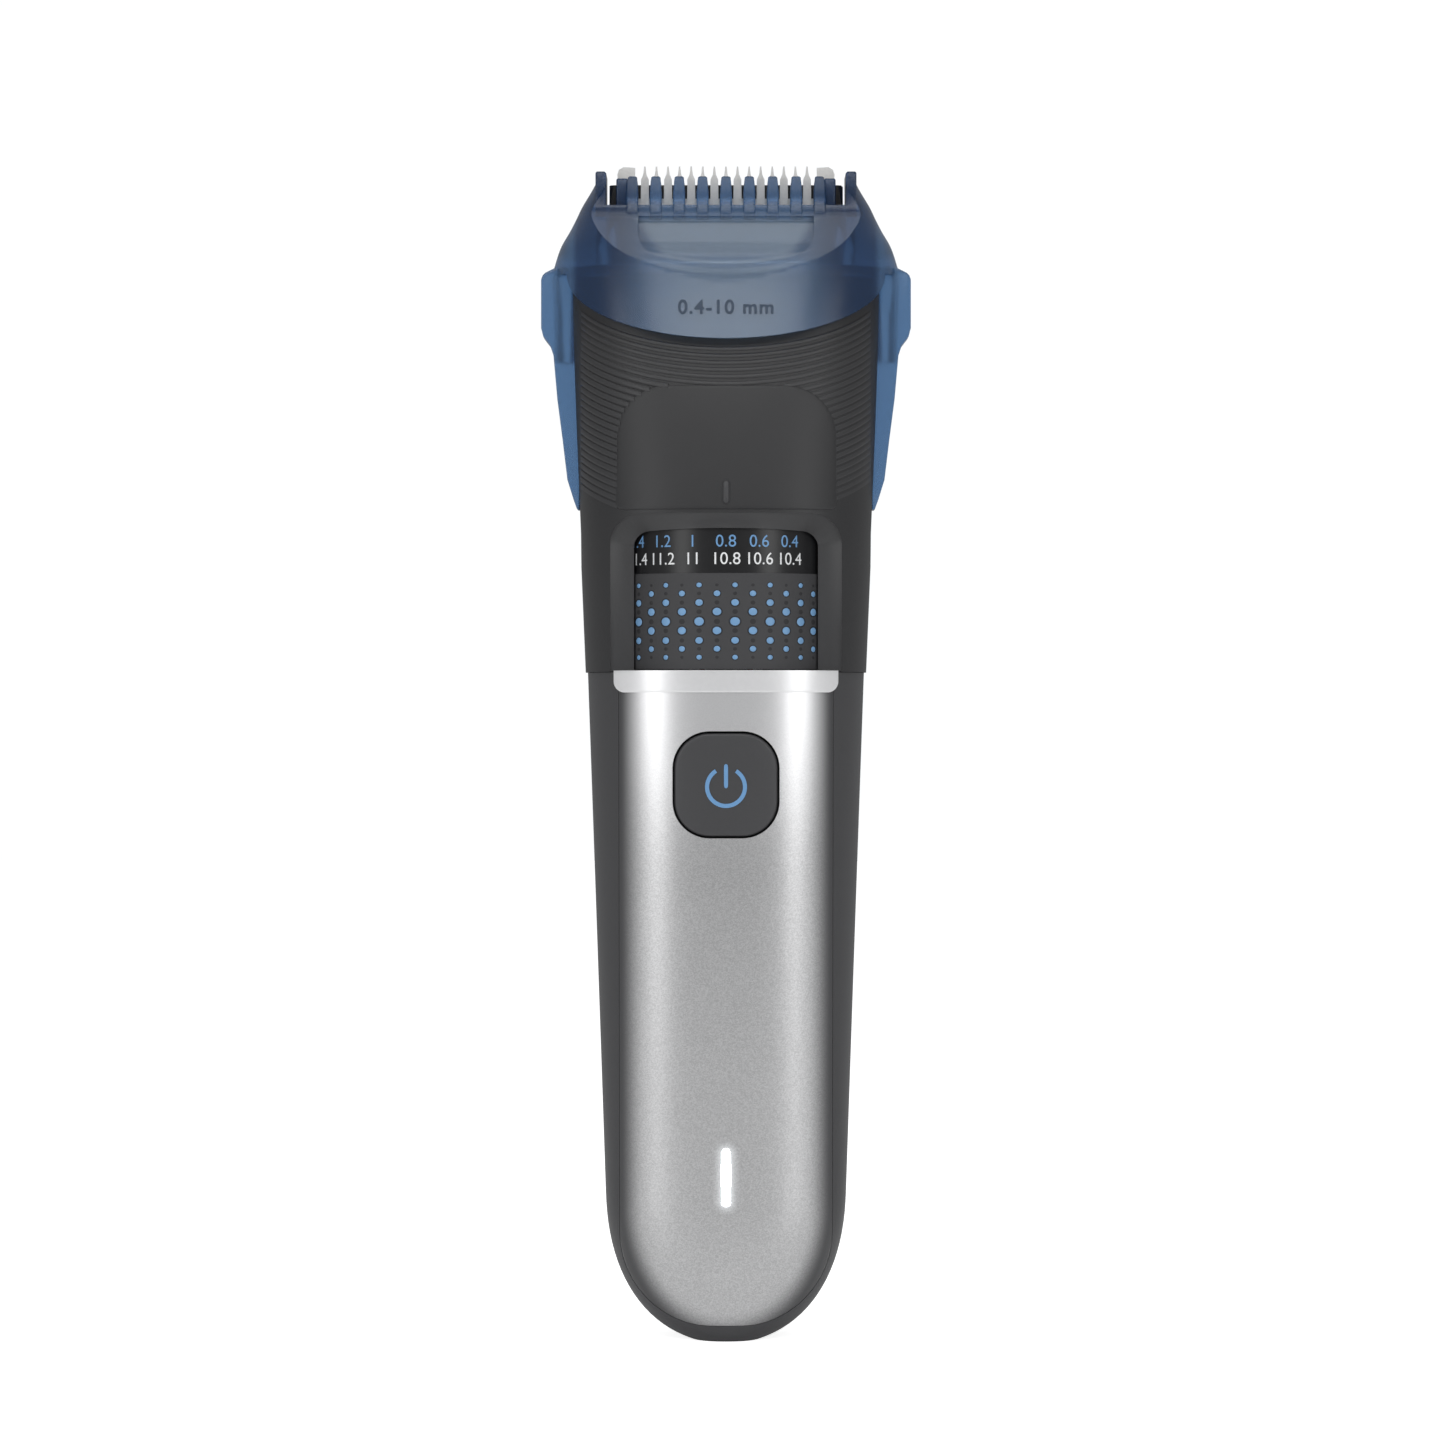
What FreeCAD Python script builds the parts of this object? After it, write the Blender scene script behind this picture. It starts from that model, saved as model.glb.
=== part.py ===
import FreeCAD, Part
import math
import os

# Beard trimmer standing on its end. Units are millimetres. +Z runs along the handle towards the
# blades, -Y is the front with the button and the wheel, and X is left to right. The origin is the
# centre of the flat end.

os.makedirs("parts", exist_ok=True)
Vec = FreeCAD.Vector

# Outer body
roundness_power = 2.35          # superellipse power of every cross-section
section_points = 28
end_height = 21.0               # height of the rounded lower end
end_offset = 0.7                # how far the rounded end is cut short, which leaves it flat
end_power = 2.3
end_depth_share = 0.55          # share of the depth that the flat end keeps
seam_z = 96.4                   # joint between the lower handle and the upper housing
handle_width_base = 16.78       # half-width of the handle carried down to z = 0
handle_width_slope = 0.0342
upper_width_base = 20.4
upper_width_slope = 0.0415
shoulder_z = 152.0
upper_top_z = 153.4
shoulder_inset = 0.9
wall = 1.8
floor_z = 2.4                   # where the handle's cavity starts
floor_drop = 1.4                # extra thickness towards the rounded end
# height, front surface, rear surface
handle_depths = [(0, -12.0, 12.6), (21, -12.2, 13.4), (45, -13.6, 15.8), (70, -15.6, 17.4),
                 (96.4, -17.8, 17.9)]
upper_depths = [(96.4, -18.05, 18.15), (110, -18.3, 18.3), (122, -17.9, 17.5), (134, -16.7, 16.0),
                (144, -14.9, 14.2), (152, -12.9, 12.5), (153.4, -11.9, 11.6)]

# Front panel, lip and window
panel_half_width = 15.4
panel_bottom_z = 2.4
panel_corner = 13.0
lip_half_width = 16.1
lip_bottom_z = 93.5
lip_proud = 0.35
window_outer_half = 16.6
window_outer_top = 119.1
window_half = 13.2
window_top = 116.9
window_corner = 2.2
bezel_corner = 4.5
bezel_side_front = -12.0        # front of the window's side posts
bezel_side_inner = -11.3

# Wheel, number ring and carriage, all about one vertical axis
axis_y = -1.0
wheel_radius = 16.45
wheel_inner = 13.7
wheel_bottom = 96.8
wheel_top = 110.5
ring_top = 117.3
ring_radius = 16.3
groove_depth = 1.5
groove_half_height = 1.15
settings = 20
setting_step = 17.0             # degrees of wheel turn between settings
rest_setting = 2                # settings below the one that the wheel rests at
comb_stroke = 9.6               # rise of the comb from the shortest to the longest setting
follower_z = 101.0
follower_radius = 1.0
sleeve_outer = 13.3
sleeve_inner = 12.0
arm_slot_half = 2.8
carriage_arm_half = 2.5
carriage_arm_z = 118.6
ear_top = 120.0
ear_reach = 20.9

# Cutter
blade_half_width = 15.8
tooth_pitch = 1.683
tooth_count = 15
tooth_root_z = 164.6
tooth_shoulder_z = 168.1        # where each tooth starts to narrow to its point
blade_tip_z = 170.0
moving_tip_z = 169.0
blade_front = -1.6
blade_split = -0.75             # rear face of the guard blade
blade_gap = 0.02
blade_rear = 0.0
blade_screw_x = 10.5
blade_screw_z = 153.7

# Comb
comb_clear = 0.5
head_clear = 1.0
comb_drop = 1.4                 # room for the comb to sit lower at the shortest setting
groove_floor = 21.0             # floor of the side grooves that the comb's arms slide in
arm_inner = 21.3
arm_half_depth = 3.6
arm_tip_z = 120.1
band_centre_z = 154.0           # the band's lower edge is half an ellipse about this height
band_edge_width = 23.0
band_edge_drop = 10.0
comb_back_y = 7.0
fin_count = 9
fin_pitch = 3.39
fin_width = 1.75
fin_top_z = 168.5
slot_bottom_z = 164.1
horn_inner = 17.4
horn_outer = 19.3

# Drive train
motor_radius = 10.0
motor_bottom = 97.0
motor_top = 122.0
shaft_radius = 1.0
shaft_clearance = 0.05
crank = 0.8
crank_pin_radius = 0.8
crank_pin_z = (131.6, 137.0)
fork_slot_half = 2.5

# Electrics
board_front = -8.4
board_back = -7.2
chassis_thickness = 1.1
chassis_half_width = 9.4
chassis_screw_x = 6.5
chassis_screw_z = 88.0
lead_x = 3.5
lead_radius = 0.45
battery_radius = 7.1
battery_z = (12.8, 62.8)
battery_y = 1.9
button_z = 80.3
button_half = 7.35
button_corner = 5.0
button_gap = 0.3
flange_front = -12.7
flange_back = -12.0
seal_front = -11.0              # front face of the rubber plate behind the button
seal_back = -10.5
seal_half = 9.6
light_half_width = 0.7
light_z = (19.8, 28.1)
socket_half = (4.7, 2.4)
socket_block_half = (5.2, 3.2)
socket_depth = 7.6
socket_block_top = 9.0
socket_pin_tip = 4.4
socket_pin_x = 1.9


def box(x0, x1, y0, y1, z0, z1):
    return Part.makeBox(x1 - x0, y1 - y0, z1 - z0, Vec(x0, y0, z0))


def rod(radius, start, end):
    """Cylinder between two points."""
    start = Vec(*start)
    along = Vec(*end) - start
    return Part.makeCylinder(radius, along.Length, start, along)


def tube(outer, inner, z0, z1, centre_y=axis_y):
    whole = rod(outer, (0, centre_y, z0), (0, centre_y, z1))
    return whole.cut(rod(inner, (0, centre_y, z0), (0, centre_y, z1)))


def mirrored(shape):
    """The shape together with its mirror image in the plane x = 0."""
    return [shape, shape.mirror(Vec(0, 0, 0), Vec(1, 0, 0))]


def between(stations, z):
    """Smooth values at height z through a list of (height, value, value...)."""
    last = len(stations) - 1
    index = 0
    while index < last - 1 and z > stations[index + 1][0]:
        index += 1
    low, high = stations[index], stations[index + 1]
    before, after = stations[max(index - 1, 0)], stations[min(index + 2, last)]
    span = high[0] - low[0]
    t = (z - low[0]) / span
    values = []
    for k in range(1, len(low)):
        slope_low = (high[k] - before[k]) / (high[0] - before[0]) * span
        slope_high = (after[k] - low[k]) / (after[0] - low[0]) * span
        rise = high[k] - low[k]
        values.append(low[k] + slope_low * t + (3 * rise - 2 * slope_low - slope_high) * t ** 2
                      + (slope_low + slope_high - 2 * rise) * t ** 3)
    return values


def handle_size(z):
    """Half-width, front and rear of the lower handle at height z."""
    front, rear = between(handle_depths, z)
    width = handle_width_base + handle_width_slope * z
    if z < end_height:
        left = 1 - (z + end_offset) / (end_height + end_offset)
        fullness = (1 - left ** end_power) ** (1 / end_power)
        width *= fullness
        depth = end_depth_share + (1 - end_depth_share) * fullness
        front *= depth
        rear *= depth
    return width, front, rear


def upper_size(z):
    """Half-width, front and rear of the upper housing at height z."""
    front, rear = between(upper_depths, z)
    width = upper_width_base + upper_width_slope * (z - seam_z)
    if z > shoulder_z:
        width -= shoulder_inset
    return width, front, rear


def section(z, width, front, rear, power=roundness_power):
    """Closed superellipse wire at height z."""
    centre = (front + rear) / 2
    depth = (rear - front) / 2
    points = []
    for i in range(section_points):
        angle = 2 * math.pi * i / section_points
        c, s = math.cos(angle), math.sin(angle)
        x = width * math.copysign(abs(c) ** (2 / power), c)
        y = centre + depth * math.copysign(abs(s) ** (2 / power), s)
        points.append(Vec(x, y, z))
    curve = Part.BSplineCurve()
    curve.interpolate(Points=points, PeriodicFlag=True)
    return Part.Wire([curve.toShape()])


def spread(low, high, count):
    """Evenly spaced heights from low to high."""
    return [low + (high - low) * i / count for i in range(count + 1)]


def loft(wires, straight=False):
    """Solid through closed wires, smooth unless it is to run straight from wire to wire."""
    return Part.makeLoft(wires, True, straight, False, 3)


def skin(size_at, levels, inset=0.0, drop=0.0):
    """Solid through the sections at the given heights, shrunk by inset and taken from drop below."""
    wires = []
    for z in levels:
        width, front, rear = size_at(z - drop)
        wires.append(section(z, width - inset, front + inset, rear - inset))
    return loft(wires)


def handle_body(bottom_z, inset=0.0, drop=0.0):
    """Whole lower handle from bottom_z up: its rounded end, then its long body."""
    rise = end_height - bottom_z
    end_levels = [end_height - rise * math.cos(math.pi / 2 * i / 8) for i in range(9)]
    end = skin(handle_size, end_levels, inset, drop)
    body = skin(handle_size, spread(end_height, seam_z, 6), inset, drop)
    return end.fuse(body)


def front_prism(outline, y0, y1):
    """Prism along Y from a closed list of (x, z) corners."""
    corners = [Vec(x, y0, z) for x, z in outline]
    return Part.Face(Part.makePolygon(corners + [corners[0]])).extrude(Vec(0, y1 - y0, 0))


def side_prism(outline, x0, x1):
    """Prism along X from a closed list of (y, z) corners."""
    corners = [Vec(x0, y, z) for y, z in outline]
    return Part.Face(Part.makePolygon(corners + [corners[0]])).extrude(Vec(x1 - x0, 0, 0))


def rounded_prism(half_width, z0, z1, y0, y1, radius, both_ends=True):
    """Upright plate along Y whose corners in the front view are rounded."""
    plate = box(-half_width, half_width, y0, y1, z0, z1)
    edges = []
    for edge in plate.Edges:
        ends = [vertex.Point for vertex in edge.Vertexes]
        along_y = abs(ends[0].y - ends[1].y) > 1e-6
        if along_y and (both_ends or ends[0].z > (z0 + z1) / 2):
            edges.append(edge)
    return plate.makeFillet(radius, edges)


def save(name, *shapes):
    solids = []
    for shape in shapes:
        solids += shape.Solids
    Part.makeCompound(solids).exportStep("parts/%s.step" % name)
    print(name, "solids", len(solids), "volume", round(sum(s.Volume for s in solids), 1))


# ---------------------------------------------------------------- lower handle

handle_outer = handle_body(0)
handle_inner = handle_body(floor_z, wall, floor_drop)
panel_prism = rounded_prism(panel_half_width, panel_bottom_z, lip_bottom_z, -30, -1, panel_corner)
panel_prism = panel_prism.fuse(box(-panel_half_width, panel_half_width, -30, -1, 40, seam_z))
lip_prism = rounded_prism(lip_half_width, lip_bottom_z, seam_z + 6, -30, -1, 1.6)
lip_prism = lip_prism.cut(box(-30, 30, -40, 0, seam_z, seam_z + 10))
button_hole = rounded_prism(button_half + button_gap, button_z - button_half - button_gap,
                            button_z + button_half + button_gap, -30, -9, button_corner + button_gap)
light_box = box(-light_half_width, light_half_width, -30, -9.4, *light_z)


def make_front_panel(shell):
    panel = shell.common(panel_prism).cut(lip_prism)
    return panel.cut(button_hole).cut(light_box)


def screw_post(x):
    """Rear post that takes one chassis screw."""
    z = chassis_screw_z
    post = rod(2.4, (x, board_back + chassis_thickness, z), (x, 16, z))
    return post.cut(rod(1.0, (x, -8, z), (x, 4, z)))


def make_handle_housing(shell):
    housing = shell.cut(panel_prism).cut(lip_prism)
    posts = handle_outer.common(screw_post(chassis_screw_x).fuse(screw_post(-chassis_screw_x)))
    housing = housing.fuse(posts)
    width, depth = socket_block_half
    return housing.cut(box(-width, width, -depth, depth, -1, socket_block_top + 1))


def make_sill_trim():
    """Bright lip, slightly proud of the handle, under the window."""
    levels = [lip_bottom_z - 1, 95, seam_z]
    proud = skin(handle_size, levels, -lip_proud)
    core = skin(handle_size, levels, wall)
    return proud.cut(core).common(lip_prism)


def make_power_button():
    half = button_half
    face = rounded_prism(half, button_z - half, button_z + half, -30, flange_front + 0.2, button_corner)
    cap = handle_outer.common(face)
    half = button_half + 0.9
    flange = rounded_prism(half, button_z - half, button_z + half, flange_front, flange_back, 5.5)
    stem = rod(1.5, (0, flange_front - 0.1, button_z), (0, seal_front + 0.05, button_z))
    return cap.fuse(flange).fuse(stem)


def make_button_seal():
    half = seal_half
    plate = rounded_prism(half, button_z - half, button_z + half, seal_front, seal_back, 5.5)
    rim = rounded_prism(half, button_z - half, button_z + half, -13.2, seal_front, 5.5)
    half = seal_half - 0.9
    rim = rim.cut(rounded_prism(half, button_z - half, button_z + half, -14, seal_front, 4.6))
    seal = plate.fuse(rim).cut(rod(1.7, (0, -12, button_z), (0, -10, button_z)))
    return seal.common(handle_inner)


def make_housing_seal():
    band = handle_inner.common(box(-30, 30, -30, 30, 91.8, 93.0))
    return band.cut(skin(handle_size, [91.8, 92.4, 93.0], wall + 1.1, floor_drop))


shell = handle_outer.cut(handle_inner)
save("front_panel", make_front_panel(shell))
save("handle_housing", make_handle_housing(shell))
save("sill_trim", make_sill_trim())
save("power_button", make_power_button())
save("button_seal", make_button_seal())
save("housing_seal", make_housing_seal())
save("light_pipe", handle_outer.common(light_box))

# ---------------------------------------------------------------- charging inlet


def make_charging_socket():
    width, depth = socket_block_half
    block = box(-width, width, -depth, depth, 0, socket_block_top)
    inner_width, inner_depth = socket_half
    block = block.cut(box(-inner_width, inner_width, -inner_depth, inner_depth, -1, socket_depth))
    for side in (-1, 1):
        block = block.cut(rod(0.7, (side * socket_pin_x, 0, 0), (side * socket_pin_x, 0, 12)))
    return block


def socket_pin(side):
    x = side * socket_pin_x
    return rod(0.7, (x, 0, socket_pin_tip), (x, 0, socket_block_top + 1.2))


save("charging_socket", make_charging_socket())
save("socket_pins", socket_pin(-1), socket_pin(1))

# ---------------------------------------------------------------- frame and electrics


def chassis_screw_holes():
    holes = []
    for x in (-chassis_screw_x, chassis_screw_x):
        holes.append(rod(1.1, (x, -12, chassis_screw_z), (x, 0, chassis_screw_z)))
    return holes


def make_chassis():
    rear = board_back + chassis_thickness
    plate = box(-chassis_half_width, chassis_half_width, board_back, rear, 13, 93.6)
    lower = box(-8, 8, board_back, 7, 11, 12.4)
    link = box(-8, 8, board_back, rear, 11, 14)
    upper = box(-8, 8, board_back, 7, 64.2, 65.6)
    flange = tube(14.2, 9.6, 93.6, 95.2)
    frame = plate.fuse([lower, link, upper, flange])
    for z in (battery_z[0] - 0.5, battery_z[1]):
        frame = frame.cut(box(-2.8, 2.8, board_back - 1, board_back + 2, z - 0.1, z + 0.6))
    return frame.cut(chassis_screw_holes())


def make_circuit_board():
    board = box(-chassis_half_width, chassis_half_width, board_front, board_back, 22, 91)
    tail = box(-4, 4, board_front, board_back, 12, 22)
    return board.fuse(tail).cut(chassis_screw_holes())


def chassis_screw(x):
    z = chassis_screw_z
    head = rod(2.0, (x, board_front - 1.4, z), (x, board_front, z))
    head = head.cut(box(x - 1.3, x + 1.3, board_front - 2, board_front - 0.8, z - 0.3, z + 0.3))
    return head.fuse(rod(1.0, (x, board_front, z), (x, 3.5, z)))


def motor_lead(side):
    """Short lead from the board over the top of the chassis to the motor."""
    x = side * lead_x
    path = [(x, board_front, 85), (x, -9.0, 85), (x, -9.0, 93.0), (x, -4.6, 96.6),
            (x, -4.6, motor_bottom)]
    lead = rod(lead_radius, path[0], path[1])
    for start, end in zip(path[1:], path[2:]):
        lead = lead.fuse(Part.makeSphere(lead_radius, Vec(*start)))
        lead = lead.fuse(rod(lead_radius, start, end))
    return lead


def make_tact_switch():
    body = box(-3, 3, board_front - 1.4, board_front, button_z - 3, button_z + 3)
    return body.fuse(rod(1.2, (0, board_front - 1.7, button_z), (0, board_front - 1, button_z)))


def make_battery():
    low, high = battery_z
    cell = rod(battery_radius, (0, battery_y, low), (0, battery_y, high - 1))
    return cell.fuse(rod(2.8, (0, battery_y, high - 1), (0, battery_y, high)))


save("chassis", make_chassis())
save("circuit_board", make_circuit_board())
save("chassis_screws", chassis_screw(-chassis_screw_x), chassis_screw(chassis_screw_x))
save("motor_leads", motor_lead(-1), motor_lead(1))
save("tact_switch", make_tact_switch())
save("led", box(-0.8, 0.8, board_front - 0.9, board_front, 22.5, 25.5))
save("battery", make_battery())
save("battery_tabs", box(-2.5, 2.5, board_back, 4, battery_z[0] - 0.2, battery_z[0]),
     box(-2.5, 2.5, board_back, 4, battery_z[1], battery_z[1] + 0.2))

# ---------------------------------------------------------------- cutter head shell

# height, front surface, rear surface
head_depths = [(144, -10.2, 10.6), (150, -9.0, 10.2), (155, -7.2, 9.4), (161.5, -3.2, 8.0),
               (167.5, -0.6, 6.0)]
head_half_width = 17.0
head_power = 4.0                # fuller corners than the housing
head_wall = 1.3
head_front_top = 161.3
head_block_z = 160.0            # top of the head's cavity
head_rear_front = 0.65          # front of the raised rear part behind the moving blade


def head_size(z):
    front, rear = between(head_depths, z)
    return head_half_width, front, rear


def head_skin(levels, inset=0.0):
    wires = []
    for z in levels:
        width, front, rear = head_size(z)
        wires.append(section(z, width - inset, front + inset, rear - inset, head_power))
    return loft(wires, True)


head_outer = head_skin([144, 147, 150, 155, 158, 161.5, 164.5, 167.5])


def blade_screw_holes(rear):
    holes = []
    for x in (-blade_screw_x, blade_screw_x):
        holes.append(rod(0.8, (x, -3, blade_screw_z), (x, rear, blade_screw_z)))
    return holes


def make_head_housing():
    cavity = head_skin([144, 147, 150, 155, 158, head_block_z], head_wall)
    mouth = box(-15.9, 15.9, blade_front - 0.02, head_rear_front, 155, 175)
    over_front = box(-30, 30, -30, head_rear_front, head_front_top, 180)
    shell = head_outer.cut(cavity).cut(mouth).cut(over_front)
    bosses = []
    for boss in mirrored(box(9, 12, blade_split, 10, 151.6, 155.8)):
        bosses.append(boss.common(head_outer))
    return shell.fuse(bosses).cut(blade_screw_holes(5))


def make_head_seal():
    ring = head_skin([145.2, 145.8, 146.4], head_wall)
    return ring.cut(box(-4.8, 4.8, -1.0, 3.2, 144, 148))


save("head_housing", make_head_housing())
save("head_seal", make_head_seal())

# ---------------------------------------------------------------- upper housing

upper_outer = skin(upper_size, spread(seam_z, shoulder_z, 8))
upper_outer = upper_outer.fuse(skin(upper_size, [shoulder_z, upper_top_z]))


def upper_cavity_size(z):
    front, rear = between(upper_depths, z)
    return 19.2, front + 1.5, rear - 1.5


def make_upper_housing():
    cavity = skin(upper_cavity_size, spread(seam_z, shoulder_z - 2, 8))
    shell = upper_outer.cut(cavity).cut(head_outer)
    opening = rounded_prism(window_outer_half, seam_z - 20, window_outer_top, -30, -5,
                            bezel_corner, False)
    shell = shell.cut(opening.common(box(-30, 30, -30, -5, seam_z - 5, 125)))
    inner_x, inner_y = window_half - 0.4, bezel_side_inner
    outer_x, outer_y = window_outer_half + 0.5, bezel_side_front
    post = box(inner_x, outer_x, -20, -7, seam_z, window_outer_top + 0.5)
    wedge = Part.makePolygon([
        Vec(inner_x, inner_y, seam_z - 1), Vec(outer_x, outer_y, seam_z - 1),
        Vec(outer_x, -25, seam_z - 1), Vec(inner_x, -25, seam_z - 1),
        Vec(inner_x, inner_y, seam_z - 1)])
    post = post.cut(Part.Face(wedge).extrude(Vec(0, 0, 40)))
    bar = side_prism([(-17.2, window_top - 0.5), (-18.0, window_outer_top), (-18.0, 121), (-15.2, 121),
                      (-15.2, 114)], -window_outer_half, window_outer_half)
    frame = post.fuse(mirrored(post)[1]).fuse(bar).common(upper_outer)
    inner = rounded_prism(window_half, seam_z - 20, window_top, -30, -5, window_corner, False)
    frame = frame.cut(inner)
    shell = shell.fuse(frame)
    clearance = rod(wheel_radius + 0.35, (0, axis_y, seam_z - 1), (0, axis_y, ring_top + 0.4))
    shell = shell.cut(clearance)
    for side in mirrored(box(groove_floor, 30, -arm_half_depth - 0.3, arm_half_depth + 0.3, 112, 160)):
        shell = shell.cut(side)
    for side in mirrored(box(17, 30, -arm_slot_half, arm_slot_half, carriage_arm_z - 1.4, 129.4)):
        shell = shell.cut(side)
    return shell


save("upper_housing", make_upper_housing())

# ---------------------------------------------------------------- wheel and carriage

rise_per_degree = comb_stroke / (setting_step * (settings - 1))
turn_down = rest_setting * setting_step
turn_up = (settings - 1 - rest_setting) * setting_step


def helical_groove(start_angle):
    """Groove for one follower pin. It climbs as the angle about the axis falls."""
    spare = 6.0
    turn = turn_down + turn_up + 2 * spare
    height = rise_per_degree * turn
    low = follower_z - rise_per_degree * (turn_down + spare)
    middle = wheel_inner + groove_depth / 2 - 0.2
    helix = Part.makeHelix(height * 360 / turn, height, middle, 0, True)
    half = groove_depth / 2 + 0.2
    profile = Part.makePolygon([
        Vec(middle - half, 0, -groove_half_height), Vec(middle + half, 0, -groove_half_height),
        Vec(middle + half, 0, groove_half_height), Vec(middle - half, 0, groove_half_height),
        Vec(middle - half, 0, -groove_half_height)])
    groove = Part.Wire(helix.Edges).makePipeShell([profile], True, True)
    groove.rotate(Vec(0, 0, 0), Vec(0, 0, 1), start_angle + turn_down + spare)
    groove.translate(Vec(0, axis_y, low))
    return groove


def make_zoom_wheel():
    wheel = tube(wheel_radius, wheel_inner, wheel_bottom, wheel_top)
    wheel = wheel.fuse(tube(ring_radius - 1.2, wheel_inner, wheel_top, ring_top))
    wheel = wheel.cut(rod(15.2, (0, axis_y, wheel_bottom - 1), (0, axis_y, 98.3)))
    notches = []
    for i in range(settings):
        angle = math.radians(90 + turn_down - i * setting_step)
        x, y = 15.2 * math.cos(angle), axis_y + 15.2 * math.sin(angle)
        notches.append(rod(0.45, (x, y, wheel_bottom - 1), (x, y, 98.3)))
    wheel = wheel.cut(notches)
    return wheel.cut(helical_groove(0)).cut(helical_groove(180))


def make_carriage():
    sleeve = tube(sleeve_outer, sleeve_inner, 99.0, 123.0)
    low = carriage_arm_z
    bridge = box(sleeve_inner + 0.4, 18.8, -carriage_arm_half, carriage_arm_half, low, 123.0)
    ear = box(18.6, ear_reach, -carriage_arm_half, carriage_arm_half, low, ear_top)
    pin = rod(follower_radius, (sleeve_inner + 0.3, axis_y, follower_z), (14.8, axis_y, follower_z))
    carriage = sleeve
    for part in (bridge, ear, pin):
        carriage = carriage.fuse(mirrored(part))
    return carriage


def make_click_spring():
    """Leaf at the back that rests against the notches in the wheel's lower rim."""
    leaf = tube(14.6, 14.2, 96.4, 98.0)
    leaf = leaf.common(box(-8, 8, 5, 20, 96, 99))
    return leaf.fuse(rod(0.45, (0, axis_y + 14.6, 96.9), (0, axis_y + 14.6, 98.0)))


save("zoom_wheel", make_zoom_wheel())
save("number_ring", tube(ring_radius, ring_radius - 1.2, wheel_top, ring_top))
save("carriage", make_carriage())
save("click_spring", make_click_spring())

# ---------------------------------------------------------------- motor and drive


def make_motor():
    can = rod(motor_radius, (0, axis_y, motor_bottom), (0, axis_y, motor_top))
    can = can.fuse(rod(3, (0, axis_y, motor_top), (0, axis_y, motor_top + 1)))
    return can.cut(rod(shaft_radius + shaft_clearance, (0, axis_y, 112), (0, axis_y, 125)))


def make_motor_mount():
    mount = tube(11.6, motor_radius + 0.1, 95.4, 123.4)
    mount = mount.fuse(tube(14.8, 10.2, 95.4, 96.4))
    return mount.fuse(tube(11.6, 3.2, 123.4, 124.8)).cut(box(-6, 6, -30, -9.6, 95, 99))


def make_eccentric():
    hub = tube(3.2, shaft_radius, 127, 131)
    cap = rod(3.2, (0, axis_y, 131), (0, axis_y, crank_pin_z[0]))
    pin = rod(crank_pin_radius, (0, axis_y - crank, crank_pin_z[0]), (0, axis_y - crank, crank_pin_z[1]))
    return hub.fuse(cap).fuse(pin)


def make_drive_lever():
    """Fork that straddles the crank pin, with a stem up to the moving blade."""
    prong = box(fork_slot_half, fork_slot_half + 1.7, -3.8, 1.8, 132.6, 138.2)
    bridge = box(-4.2, 4.2, -3.8, 2.2, 138.2, 140.6)
    stem = box(-3.6, 3.6, blade_rear, 2.2, 140.6, 158)
    return bridge.fuse(mirrored(prong)).fuse(stem)


save("motor", make_motor())
save("motor_mount", make_motor_mount())
save("motor_shaft", rod(shaft_radius, (0, axis_y, 112.4), (0, axis_y, 131)))
save("eccentric", make_eccentric())
save("drive_lever", make_drive_lever())

# ---------------------------------------------------------------- blades


def teeth(half_widths, y0, y1):
    """Row of pointed teeth centred on the plane x = 0, from a list of (height, half width)."""
    row = []
    for i in range(tooth_count):
        x = (i - (tooth_count - 1) / 2) * tooth_pitch
        left = [(x - half, z) for z, half in half_widths]
        right = [(x + half, z) for z, half in reversed(half_widths)]
        row.append(front_prism(left + right, y0, y1))
    return row


def make_fixed_blade():
    half = blade_half_width
    outline = [(-half + 1.4, 152), (half - 1.4, 152), (half - 1.0, 162), (half - 0.4, tooth_root_z),
               (-half + 0.4, tooth_root_z), (-half + 1.0, 162)]
    blade = front_prism(outline, blade_front, blade_split)
    half_widths = [(tooth_root_z - 0.5, 0.62), (tooth_shoulder_z, 0.56),
                   (tooth_shoulder_z + 0.7, 0.24), (blade_tip_z, 0.1)]
    blade = blade.fuse(teeth(half_widths, blade_front, blade_split))
    corner = [(half - 2.6, tooth_root_z - 1), (half - 0.5, tooth_root_z - 1), (half, 168.8),
              (half - 0.25, 169.5), (half - 0.9, 169.9), (half - 2.6, 169.8)]
    blade = blade.fuse(mirrored(front_prism(corner, blade_front, blade_split)))
    return blade.cut(blade_screw_holes(3))


def make_moving_blade():
    front = blade_split + blade_gap
    outline = [(-12.6, 157), (12.6, 157), (12.9, 165.4), (-12.9, 165.4)]
    blade = front_prism(outline, front, blade_rear)
    half_widths = [(164.9, 0.5), (tooth_shoulder_z - 0.2, 0.45), (tooth_shoulder_z + 0.3, 0.22),
                   (moving_tip_z, 0.1)]
    return blade.fuse(teeth(half_widths, front, blade_rear))


def make_blade_spring():
    leg = box(6, 8, 0.05, 0.6, 150, 162)
    foot = box(6, 8, 0.05, 3.4, 150, 151)
    return box(-8, 8, 2.8, 3.4, 150, 152).fuse(mirrored(leg)).fuse(mirrored(foot))


def blade_screw(x):
    z = blade_screw_z
    head = Part.makeCone(0.8, 1.5, 0.7, Vec(x, blade_front, z), Vec(0, -1, 0))
    head = head.cut(box(x - 0.9, x + 0.9, blade_front - 1, blade_front - 0.4, z - 0.15, z + 0.15))
    return head.fuse(rod(0.8, (x, blade_front, z), (x, 3.0, z)))


save("fixed_blade", make_fixed_blade())
save("moving_blade", make_moving_blade())
save("blade_spring", make_blade_spring())
save("blade_screws", blade_screw(-blade_screw_x), blade_screw(blade_screw_x))

# ---------------------------------------------------------------- comb

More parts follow.
